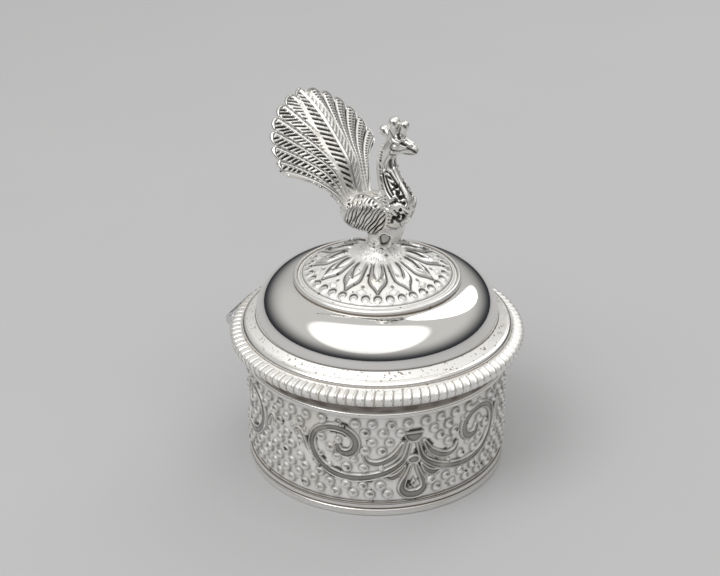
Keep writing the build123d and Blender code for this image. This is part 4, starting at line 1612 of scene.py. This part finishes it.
    def chase_wing(self, skin: BirdSkin) -> None:
        """Cuts ribs that fan across the wing, broken into dashes above.

        Args:
            skin: The skin to chase.
        """
        edge = skin.patch(self.wing)
        on_wing = eased(0.05, -0.15, edge) * skin.side
        out, over = skin.across - self.rib_centre[0], skin.above - self.rib_centre[1]
        far = np.hypot(out, over)
        rib = np.degrees(np.arctan2(over, out)) / self.rib_step
        number = np.floor(rib + 0.5)
        rib = rib - number + 0.15 * np.sin(far * 2.2 + math.tau * scatter(number))
        ridge = np.abs(np.sin(math.pi * rib))
        bold = 0.3 * scatter(number, np.floor(far / 1.9))
        groove = faded(0.3 + bold, 0.65 + bold, ridge)
        upper = eased(5.6, 7.4, skin.above + 0.25 * skin.across)
        breaks = eased(-0.75, 0.1, np.sin(math.tau * (far / 1.6 + scatter(number))))
        shoulder = eased(-0.6, 0.3, skin.across + 0.55 * (skin.above - 8.0))
        shoulder = shoulder * eased(6.6, 7.6, skin.above)
        ribs = on_wing * groove * (1 - shoulder) * (1 - upper * (1 - breaks))
        skin.lift(0.1 * on_wing * ridge * (1 - shoulder))
        skin.cut(0.2, ribs, 1.0)
        # a shallow groove around the wing, darkened with painted shade except towards its front
        skin.cut(0.08, hump(edge, 0.12, 0.1) * skin.side * eased(0.6, -0.4, skin.across), 0.85)

    def chase_breast(self, skin: BirdSkin) -> None:
        """Cuts deep uneven pits around a small scroll, below the neck.

        Args:
            skin: The skin to chase.
        """
        area = eased(0.1, -0.2, skin.patch(self.breast)) * skin.side
        u = skin.across + 0.3 * np.sin(1.9 * skin.above + 1.0)
        w = skin.above + 0.3 * np.sin(2.3 * skin.across)
        wild = np.sin(4.6 * u) * np.sin(3.6 * w) + 0.5 * np.sin(3.1 * u + 4.1 * w + 0.7)
        scroll = skin.line(self.scroll)
        plain = eased(0.28, 0.45, scroll)
        skin.cut(0.2, area * plain * eased(0.0, 0.3, wild), 0.95)
        for across, above, radius in self.deep_pits:
            pit = skin.spot(across, above) / radius
            skin.cut(0.3, faded(0.7, 1.1, pit) * skin.side * plain, 1.0)
        skin.lift(0.2 * hump(scroll, 0.0, 0.24) * skin.side)

    def chase_neck(self, skin: BirdSkin) -> None:
        """Cuts long grooves with a ladder of dark blocks, and straps at the front and the back.

        Args:
            skin: The skin to chase.
        """
        for path in self.neck_grooves:
            skin.cut(0.18, faded(0.1, 0.28, skin.line(path)) * skin.side, 1.0)
        rung = eased(-0.35, 0.15, np.sin(math.tau * (skin.above + 0.4 * skin.across) / 0.95))
        skin.cut(0.22, faded(0.22, 0.44, skin.line(self.ladder)) * skin.side * rung, 1.0)
        strap = skin.line(self.strap)
        on_strap = faded(0.4, 0.55, strap)
        skin.smooth(on_strap)
        skin.lift(0.08 * on_strap)
        skin.burnish(on_strap)
        skin.cut(0.1, hump(strap, 0.62, 0.1) * skin.side, 0.85)
        skin.cut(0.04, hump(strap, 0.12, 0.05) * skin.side, 0.4)
        wander = skin.above + 0.3 * np.sin(2.3 * skin.above) + 0.9 * skin.across
        dashes = eased(-0.9, 0.3, np.sin(math.tau * wander / 0.75))
        nape = faded(0.1, 0.3, skin.line(self.nape_dashes))
        skin.cut(0.12, nape * dashes * skin.side, 0.9)
        hollow = np.hypot((skin.across - 2.45) / 0.5, (skin.above - 15.1) / 0.9)
        skin.cut(0.2, faded(0.7, 1.25, hollow) * skin.side, 0.9)
        ridge = skin.line(self.throat_ridge)
        skin.lift(0.16 * hump(ridge, 0.0, 0.2) * skin.side)
        skin.cut(0.05, hump(ridge, 0.34, 0.08) * skin.side, 0.6)
        knob = skin.spot(*self.throat_knob)
        skin.lift(0.24 * faded(0.15, 0.42, knob) * skin.side)

    def chase_face(self, skin: BirdSkin) -> None:
        """Chases the eye, cheek, brow, jaw and the parting of the beak.

        Args:
            skin: The skin to chase.
        """
        face = skin.side * eased(16.0, 16.4, skin.above)
        cheek = skin.spot(*self.cheek)
        skin.lift(0.3 * faded(0.15, 0.6, cheek) * face)
        # a groove around the cheek, with painted shade heaviest on its back side
        behind = eased(3.3, 2.7, skin.across)
        skin.cut(0.12, hump(cheek, 0.72, 0.18) * face * (0.25 + 0.75 * behind), 0.9)
        eye = skin.line(self.eye)
        skin.cut(0.2, faded(0.18, 0.36, eye) * face, 1.0)
        crown = skin.line(self.crown)
        skin.cut(0.2, faded(0.2, 0.42, crown) * face, 0.95)
        brow = skin.line(self.brow)
        skin.lift(0.2 * hump(brow, 0.0, 0.26) * face)
        skin.cut(0.05, hump(brow, 0.44, 0.1) * face, 0.8)
        band = skin.line(self.band)
        skin.lift(0.08 * hump(band, 0.0, 0.2) * face)
        skin.cut(0.04, hump(band, 0.34, 0.09) * face, 0.7)
        jaw = skin.line(self.jaw)
        skin.lift(0.16 * hump(jaw, 0.0, 0.2) * skin.side)
        skin.cut(0.06, hump(jaw, 0.38, 0.1) * face, 0.8)
        mouth = skin.line(self.mouth)
        skin.cut(0.14, faded(0.14, 0.32, mouth) * skin.side, 0.95)
        for path, half in self.crest_shades:
            gap = skin.line(path)
            skin.cut(0.08, faded(0.5 * half, 1.3 * half, gap), 0.85)

    def chase_rest(self, skin: BirdSkin) -> None:
        """Chases the root of the tail, the arch between the legs, grainy places and the stud's thread.

        Args:
            skin: The skin to chase.
        """
        tuft = skin.patch(self.tuft)
        bent = skin.across * 5.1 + 2.0 * np.sin(skin.above * 3.3)
        wild = np.sin(bent) * np.sin(skin.above * 4.7 + skin.across)
        skin.cut(0.16, eased(0.1, -0.2, tuft) * eased(0.05, 0.45, wild) * skin.side, 0.95)
        across, above, radius = self.arch
        around = np.arctan2(skin.above - above, skin.across - across)
        ragged = 1.0 + 0.1 * np.sin(3 * around + 1.0) + 0.05 * np.sin(5 * around)
        hollow = skin.spot(across, above) / (radius * ragged)
        near = skin.side * eased(0.2, 0.6, skin.above) * eased(0.2, -0.2, skin.points[:, 0])
        skin.cut(0.4, faded(0.8, 1.1, hollow) * near, 0.35)
        # painted shade inside the arch between the legs, heaviest on its lower left
        low_left = eased(0.5, -0.7, (skin.above - above) + 0.5 * (skin.across - across))
        skin.cut(0.0, hump(hollow, 0.85, 0.16) * (0.2 + 0.8 * low_left) * near, 1.0)
        skin.lift(0.06 * hump(hollow, 1.25, 0.2) * near)
        streak = skin.line(self.streak)
        skin.cut(0.1, hump(streak, 0.0, 0.12) * skin.side, 0.8)
        foot = eased(3.6, 2.8, skin.points[:, 2]) * eased(-0.5, -0.3, skin.points[:, 2])
        foot = foot * eased(1.1, 1.3, hollow)
        coarse = np.maximum(foot, eased(0.2, -0.3, skin.patch(self.shoulder)) * skin.side)
        rough = grains(skin.across * 0.75, skin.above * 0.75)
        skin.lift(0.1 * rough * coarse)
        skin.cut(0.04, eased(-0.4, -0.8, rough) * coarse, 0.75)
        skin.burnish(0.9 * eased(-0.1, 0.3, rough) * coarse)
        below = eased(-0.7, -0.9, skin.points[:, 2])
        skin.lift(0.07 * below * np.sin(math.tau * skin.points[:, 2] / 0.5))

    def build(self) -> None:
        """Makes the bird, standing on the rosette."""
        piece = self.fused()
        mesh = piece.data
        count = len(mesh.vertices)
        flat = np.zeros(count * 3, np.float32)
        mesh.vertices.foreach_get("co", flat)
        points = flat.reshape(-1, 3).astype(float)
        mesh.vertex_normals.foreach_get("vector", flat)
        normals = flat.reshape(-1, 3).astype(float)
        skin = self.skin(points, normals)
        self.chase_wing(skin)
        self.chase_breast(skin)
        self.chase_neck(skin)
        self.chase_face(skin)
        self.chase_rest(skin)
        chased = points + normals * skin.rise[:, None]
        fine, wide = (hollows(mesh, chased, normals, rounds) for rounds in self.hollow_rounds)
        # painted shade and tarnish in the skin's narrow and wide hollows; burnish on its raised places,
        # which also paints their highlights
        dark = np.maximum(0.9 * eased(0.015, 0.06, fine), 0.8 * eased(0.06, 0.22, wide))
        tarnish_and_shade = np.maximum(skin.tarnish_and_shade, dark)
        polish = np.maximum(skin.polish, 0.8 * eased(0.01, 0.05, -fine)) * (1 - tarnish_and_shade)
        placed = self.pose.stand(chased) * MM
        mesh.vertices.foreach_set("co", placed.astype(np.float32).ravel())
        mesh.update()
        set_mark(mesh, Mark.POLISH, polish)
        set_mark(mesh, Mark.TARNISH_AND_SHADE, tarnish_and_shade)
        mesh.shade_smooth()
        dress(piece, Finishes.CAST, Body.LID, "peacock_body")


@dataclass
class PeacockTail:
    """The raised fan: a lance-shaped middle feather between curved side feathers, on both faces."""

    pose: BirdPose = BirdPose()
    root: Point = (-5.1, 8.3)
    lean: float = 42.4
    sweep: float = 6.0
    side_feathers: int = 6
    feather_step: float = 8.0
    length: float = 21.6
    side_length: float = 15.2
    even_taper: float = 0.25
    notch: float = 0.94
    base: Point = (3.0, -2.4)
    # step and how far a feather there bows towards the fold
    bow: Line = ((0.0, 0.0), (2.0, 1.3), (4.0, 2.0), (5.5, 1.9), (6.5, 1.6))
    # height along the fold and how far the fold stands forward of a flat fan
    bulge: Line = (
        (-2.4, -0.2), (0.0, 0.0), (3.2, 1.3), (5.7, 2.3), (8.0, 2.5), (13.6, 2.25), (17.6, 1.5),
        (21.6, 0.0),
    )
    bulge_spread: float = 4.5
    half_thickness: float = 0.36
    spine_rise: float = 0.24
    spine_width: float = 0.2
    # height along the fold and half width, of the middle feather
    lance: Line = ((-2.0, 1.2), (2.0, 1.7), (8.0, 2.1), (14.0, 2.0), (19.0, 1.4), (21.6, 0.6))
    lance_pitch: float = 1.04
    barb_slant: float = 0.9  # rise of a slot for each step away from its spine
    barb_depth: float = 0.26
    side_pitch: float = 0.84
    side_slants: Point = (0.85, 0.2)  # the same, in the first side feather and in the last
    dot_pitch: float = 0.6  # along the finer feathers
    dash_pitch: float = 0.8  # along the seams between feathers
    ridge_place: float = -0.55  # of a side feather's ridge, from -1 at its upper edge to 1
    rim_width: float = 0.34
    feather_columns: int = 26
    rows: int = 250

    def tip(self, step: Array) -> tuple[Array, Array]:
        """Draws the fan's edge, with rounded feather tips.

        Args:
            step: Steps from the fold of each point.

        Returns:
            Distance out from the fold and up along it.
        """
        share = step / self.side_feathers
        taper = share * (self.even_taper + (1 - self.even_taper) * share)
        length = self.length - (self.length - self.side_length) * taper
        across = np.abs(step - np.round(step)) * 2
        length = length * (self.notch + (1 - self.notch) * np.sqrt(np.clip(1 - across**2, 0.0, 1.0)))
        angle = np.radians(step * self.feather_step)
        return length * np.sin(angle), length * np.cos(angle)

    def lay(self, step: Array, share: Array) -> tuple[Array, Array, Array]:
        """Lays out the fan, flat.

        Args:
            step: Steps from the fold of each point.
            share: Part of the way from the root to the edge.

        Returns:
            Distance out from the fold and up along it, and length of the feather's line.
        """
        most = self.side_feathers + 0.5
        tip_out, tip_rise = self.tip(step)
        foot_out, foot_rise = self.base[0] * step / most, self.base[1]
        chord_out, chord_rise = tip_out - foot_out, tip_rise - foot_rise
        length = np.hypot(chord_out, chord_rise)
        steps, bows = zip(*self.bow)
        push = 4 * share * (1 - share) * np.interp(step, steps, bows) / length
        out = foot_out + chord_out * share - chord_rise * push
        rise = foot_rise + chord_rise * share + chord_out * push
        return out, rise, length

    def relief(
        self, step: Array, along: Array, to_edge: Array, out: Array, rise: Array, far: Array
    ) -> Relief:
        """Chases one face of the fan.

        Args:
            step: Steps from the fold of each point.
            along: Distance from the root, along the feather.
            to_edge: Distance to the feather's tip.
            out: Distance from the fold.
            rise: Height along the fold.
            far: 1 on the half with finer, dotted feathers, 0 on the other.

        Returns:
            Half thickness, burnish and darkness of each point.
        """
        feather = np.clip(np.round(step), 1, self.side_feathers)
        across = (step - feather) * 2
        levels, widths = zip(*self.lance)
        lance = np.interp(rise, levels, widths)
        inside = eased(0.06, -0.06, out - lance)
        live = eased(self.rim_width + 0.2, self.rim_width + 0.35, to_edge)
        wide = math.radians(self.feather_step) / 2 * np.maximum(along, 1.0)

        wave = np.sin(math.tau * (rise - self.barb_slant * out) / self.lance_pitch)
        slot = eased(-0.1, 0.5, wave)
        slot *= eased(0.26, 0.38, out) * eased(0.05, 0.25, lance - out)
        middle_cut = slot * inside * eased(0.5, 2.5, rise) * (1 - 0.6 * far)

        aside = (across - self.ridge_place) * wide
        uneven = 0.1 * np.sin(along * 2.1 + 1.9 * feather) + scatter(feather)
        slant = np.interp(feather, (1, self.side_feathers), self.side_slants)
        wave = np.sin(math.tau * ((along - slant * aside) / self.side_pitch + uneven))
        heavy = 0.3 * np.sin(along * 0.9 + 2.3 * feather) + 0.5 * across - 0.1
        side_slot = eased(heavy - 0.25, heavy + 0.3, wave)
        short = 0.72 + 0.12 * np.sin(along * 3.1 + feather)
        side_slot *= eased(-0.42, -0.3, across) * eased(short + 0.1, short - 0.1, across)
        beat = np.sin(math.tau * along / self.dot_pitch)
        dots = eased(-0.5, 0.3, beat) * (hump(across, -0.15, 0.24) + hump(across, 0.5, 0.24))
        shown = (1 - inside) * eased(lance + 0.3, lance + 0.9, out) * eased(3.5, 6.5, along)
        side_cut = (side_slot * (1 - far) + np.clip(dots, 0, 1) * far) * shown
        ridge = hump(across, self.ridge_place, 0.2) * shown * (1 - far)
        pace = along / self.dash_pitch + 0.12 * np.sin(along * 1.7)
        dash = eased(-0.4, 0.3, np.sin(math.tau * pace))
        seam = eased(0.78 - 0.04 * far, 0.95, np.abs(across)) * (1 - inside)
        seam = seam * eased(3.0, 5.0, along)
        seam_dark = seam * np.maximum(far, 0.3 + 0.7 * dash) * eased(0.2, 0.9, out - lance)

        spine = hump(out, 0.0, self.spine_width) * eased(0.0, 1.5, rise)
        spine_line = hump(out, 0.3, 0.07) * eased(0.5, 2.0, rise) * live
        rim = eased(self.rim_width + 0.1, self.rim_width - 0.08, to_edge)
        inner_line = hump(to_edge, self.rim_width + 0.18, 0.1)
        last = self.side_feathers + 0.5
        from_hem = (last - step) * wide * 2
        hem = eased(0.34, 0.24, from_hem)
        hem_line = hump(from_hem, 0.46, 0.1) * eased(2.0, 5.0, along)
        side_cut *= eased(0.5, 0.8, from_hem)
        seam *= eased(0.3, 0.7, from_hem)

        # painted shade in the cut slots and dots, the seams, and the lines along the spine, edge and hem
        tarnish_and_shade = np.maximum.reduce([middle_cut, side_cut, seam_dark, 0.6 * spine_line]) * live
        tarnish_and_shade = np.maximum.reduce([tarnish_and_shade, 0.85 * inner_line, 0.85 * hem_line]) * (1 - hem)
        tarnish_and_shade *= eased(1.0, 2.0, along)
        swell = (0.1 + 0.14 * far) * (1 - np.clip(np.abs(across), 0, 1) ** 2) * (1 - inside) + 0.12 * inside
        lift = swell + self.spine_rise * spine + 0.16 * ridge + 0.12 * rim + 0.08 * hem
        sunk = self.barb_depth * np.maximum(middle_cut, side_cut) * live
        sunk += 0.14 * seam * live + 0.06 * inner_line
        thick = self.half_thickness + lift - sunk * (1 - hem)
        thick *= 0.3 + 0.7 * np.sqrt(np.clip(to_edge / self.rim_width, 0.0, 1.0))
        barbs = 0.7 * shown * (1 - far)
        polish = np.maximum.reduce([np.full_like(tarnish_and_shade, 0.2), barbs, spine, 0.8 * ridge, rim, hem])
        return thick, polish * (1 - tarnish_and_shade), tarnish_and_shade

    def build(self) -> None:
        """Makes the fan, standing behind the bird."""
        columns = self.feather_columns * (2 * self.side_feathers + 1) + 1
        most = self.side_feathers + 0.5
        step = np.linspace(-most, most, columns)
        share = 1 - (1 - np.linspace(0.0, 1.0, self.rows)) ** 1.15
        fold, way = np.meshgrid(np.abs(step), share)
        side = np.sign(step)[None, :]
        out, rise, length = self.lay(fold, way)
        far = eased(-0.02, 0.02, step)[None, :] * np.ones_like(fold)
        thick, polish, tarnish_and_shade = self.relief(fold, way * length, (1 - way) * length, out, rise, far)
        lean, sweep = math.radians(self.lean), math.radians(self.sweep)
        along = np.array([0.0, math.sin(lean), math.cos(lean)])
        ahead = np.array([0.0, -math.cos(lean), math.sin(lean)])
        right = np.array([1.0, 0.0, 0.0])
        across = side[..., None] * right * math.cos(sweep) - ahead * math.sin(sweep)
        forward = smooth_path(self.bulge, 8)
        stand = np.interp(rise, forward[:, 0], forward[:, 1]) * np.exp(-((out / self.bulge_spread) ** 2))
        root = np.array([0.0, -self.root[0], self.root[1]])
        middle = root + rise[..., None] * along + out[..., None] * across + stand[..., None] * ahead
        face = np.cross(np.gradient(middle, axis=1), np.gradient(middle, axis=0))
        face /= np.maximum(np.linalg.norm(face, axis=-1, keepdims=True), 1e-9)
        face *= np.sign(face @ ahead)[..., None]
        front, back = middle + face * thick[..., None], middle - face * thick[..., None]
        grid = np.concatenate([front, back[::-1]])
        plan = MeshPlan()
        marks = [np.concatenate([mark, mark[::-1]]) for mark in (polish, tarnish_and_shade)]
        self.add_sheet(plan, self.pose.stand(grid), *marks)
        dress(plan.make("feathered_tail"), Finishes.CAST, Body.LID, "peacock_tail")

    @staticmethod
    def add_sheet(plan: MeshPlan, grid: Array, polish: Array, tarnish_and_shade: Array) -> None:
        """Adds the fan's two faces, joined around the edge.

        Args:
            plan: Where to add them.
            grid: Points: the front's rows from the root out, then the back's from the edge in.
            polish: Burnish of each point.
            tarnish_and_shade: Darkness of each point.
        """
        rows, columns = grid.shape[:2]
        number = np.arange(rows * columns).reshape(rows, columns)
        below = np.roll(number, -1, axis=0)
        faces = np.stack([number[:, :-1], number[:, 1:], below[:, 1:], below[:, :-1]], -1).reshape(-1, 4)
        half = rows // 2
        mirrored = number[::-1]
        caps = []
        for column, order in ((0, 1), (columns - 1, -1)):
            front, back = number[:half, column], mirrored[:half, column]
            strip = np.stack([front[:-1], front[1:], back[1:], back[:-1]], -1)
            caps.append(strip[:, ::order])
        plan.add(grid.reshape(-1, 3), np.concatenate([faces, *caps]), polish, tarnish_and_shade)


@dataclass
class FinialFixing(TurnedRings):
    """The washer and nut that hold the peacock, inside the lid."""

    columns: int = 96
    body: Body = Body.LID
    stud: float = 1.25
    play: float = 0.05  # of the washer on the stud
    chamfer: float = 0.35
    polish: float = 0.3

    def washer(self) -> None:
        """Makes the washer, with eased edges."""
        outer = Place.radius("finial_washer")
        low, high = Place.span("finial_washer")
        hole = self.stud + self.play
        corners = [(hole, low, 0.08), (outer, low, 0.12), (outer, high, 0.12), (hole, high, 0.08)]
        loop = rounded_loop(corners)
        self.ring("finial_washer_ring", "finial_washer", loop, Finishes.HINGE, self.polish)

    def nut(self) -> None:
        """Makes the nut, with chamfered corners."""
        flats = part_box("finial_nut")[1].y / MM
        low, high = Place.span("finial_nut")
        turn = steps_round(self.columns)
        hexagon = flats / np.cos(from_middle(turn - math.pi / 2, math.pi / 3))
        below = [low, low + 0.12, low + 0.3, low + 0.6]
        height = np.array([*below, high - 0.6, high - 0.3, high - 0.12, high])
        ends = np.minimum(height - low, high - height)
        limit = flats * 1.02 + np.minimum(ends / self.chamfer, 1.0) * flats * 0.16
        radius = np.minimum(hexagon[None, :], limit[:, None])
        hole = np.full((2, self.columns), self.stud)
        reach = np.concatenate([radius, hole])
        level = np.concatenate([height, [high, low]])[:, None] * np.ones_like(reach)
        grid = np.stack([reach * np.cos(turn), reach * np.sin(turn), level], -1)
        ring_piece("finial_hex_nut", "finial_nut", grid, Finishes.HINGE, self.body, self.polish)

    def build(self) -> None:
        """Makes both."""
        self.washer()
        self.nut()


@dataclass(frozen=True)
class Lamp:
    """One soft round light that faces the box."""

    name: str
    turn: float  # degrees, from the camera's azimuth
    elevation: float
    size: float  # diameter, in metres
    power: float  # watts


@dataclass
class Studio:
    """Camera, floor and soft light."""

    target: Triple = (-1.22, 2.741, 32.15)
    azimuth: float = -66.0
    elevation: float = 27.2
    distance: float = 281.06
    lens: float = 80.0
    sensor: float = 36.0
    floor_colour: Colour = (0.50, 0.50, 0.51)
    floor_half: float = 3.0  # metres
    floor_mottle: float = 40.0  # size of its faint blotches
    lamps: tuple[Lamp, ...] = (
        Lamp("key_light", -50.0, 55.0, 0.3, 0.65),
        Lamp("side_light", 145.0, 42.0, 0.34, 0.35),
    )
    lamp_reach: float = 0.5  # metres
    low_sky: Colour = (0.03, 0.032, 0.038)
    high_sky: Colour = (0.60, 0.595, 0.58)
    glow_turn: float = -16.0  # degrees, of the soft glow overhead from the camera's azimuth
    glow_elevation: float = 64.0
    glow_edge: Point = (46.0, 40.0)  # degrees from its middle, where it begins and is full
    glow_strength: float = 1.1

    def camera(self) -> None:
        """Sets up the photograph's viewpoint."""
        data = bpy.data.cameras.new("camera")
        data.lens = self.lens
        data.sensor_width = self.sensor
        data.sensor_fit = "HORIZONTAL"
        data.clip_start = 0.01
        camera = bpy.data.objects.new("camera", data)
        back = self.direction(self.azimuth, self.elevation)
        camera.location = (Vector(self.target) + back * self.distance) * MM
        camera.rotation_euler = (-back).to_track_quat("-Z", "Y").to_euler()
        bpy.context.scene.collection.objects.link(camera)
        bpy.context.scene.camera = camera

    @staticmethod
    def direction(azimuth: float, elevation: float) -> Vector:
        """From the object towards a viewpoint, in the frame's azimuth and elevation."""
        a, e = math.radians(azimuth), math.radians(elevation)
        return Vector((math.sin(a) * math.cos(e), -math.cos(a) * math.cos(e), math.sin(e)))

    def softbox(self, lamp: Lamp) -> None:
        """Sets up one lamp.

        Args:
            lamp: Its place, size and power.
        """
        data = bpy.data.lights.new(lamp.name, "AREA")
        data.shape = "DISK"
        data.size = lamp.size
        data.energy = lamp.power
        light = bpy.data.objects.new(lamp.name, data)
        towards = self.direction(self.azimuth + lamp.turn, lamp.elevation)
        light.location = Vector(self.target) * MM + towards * self.lamp_reach
        light.rotation_euler = (-towards).to_track_quat("-Z", "Y").to_euler()
        bpy.context.scene.collection.objects.link(light)

    def floor(self) -> None:
        """Lays a plain pale floor."""
        half = self.floor_half
        mesh = bpy.data.meshes.new("floor")
        corners = [(-half, -half, 0), (half, -half, 0), (half, half, 0), (-half, half, 0)]
        mesh.from_pydata(corners, [], [(0, 1, 2, 3)])
        floor = bpy.data.objects.new("floor", mesh)
        material = bpy.data.materials.new("pale_floor")
        graph = Graph(material)
        mottle = graph.noise(graph.place(), self.floor_mottle)
        mottle_tone = tuple(channel * 0.97 for channel in self.floor_colour)
        colour = graph.mix(mottle, self.floor_colour, mottle_tone)
        shader = graph.add("ShaderNodeBsdfPrincipled", {}, {"Base Color": colour, "Roughness": 0.8})
        graph.add("ShaderNodeOutputMaterial", {}, {"Surface": shader})
        mesh.materials.append(material)
        bpy.context.scene.collection.objects.link(floor)

    def world(self) -> None:
        """Sets up grey surroundings, darker near the level, with a soft glow overhead."""
        world = bpy.data.worlds.new("studio")
        bpy.context.scene.world = world
        graph = Graph(world)
        way = graph.add("ShaderNodeTexCoord", {}, {}, "Generated")
        height = graph.add("ShaderNodeSeparateXYZ", {}, {"Vector": way}, "Z")
        sky = graph.mix(height.eased(0.02, 0.6), self.low_sky, self.high_sky)
        towards = self.direction(self.azimuth + self.glow_turn, self.glow_elevation)
        dot = {"operation": "DOT_PRODUCT"}
        facing = graph.add("ShaderNodeVectorMath", dot, {0: way, 1: towards}, "Value")
        glow = facing.eased(*(math.cos(math.radians(angle)) for angle in self.glow_edge))
        strength = glow * self.glow_strength + 1.0
        light = graph.add("ShaderNodeBackground", {}, {"Color": sky, "Strength": strength})
        graph.add("ShaderNodeOutputWorld", {}, {"Surface": light})

    def build(self) -> None:
        """Sets up the studio."""
        self.camera()
        self.floor()
        self.world()
        for lamp in self.lamps:
            self.softbox(lamp)
        bpy.context.scene.view_settings.view_transform = "Standard"


def dress_plain_nodes(nodes: dict[str, Piece]) -> None:
    """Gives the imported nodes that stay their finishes.

    Args:
        nodes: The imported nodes, by name.
    """
    finishes = {
        "base_disc": Finishes.POLISHED,
        "body_hinge_leaf": Finishes.HINGE,
        "lid_hinge_leaf": Finishes.HINGE,
        "hinge_pin": Finishes.HINGE,
    }
    for name, finish in finishes.items():
        node = nodes[name]
        node.data.materials.clear()
        node.data.materials.append(finish.material())
        log.info("%s: kept from the frame", name)


def main() -> None:
    """Builds the whole scene."""
    logging.basicConfig(level=logging.INFO)
    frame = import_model()
    Studio().build()
    EmbossedWall().build()
    BodyMouldings().build()
    ReededRim().build()
    LidShell().build()
    Rosette().build()
    Peacock().build()
    PeacockTail().build()
    FinialFixing().build()
    dress_plain_nodes(frame["nodes"])


if __name__ == "__main__":
    main()
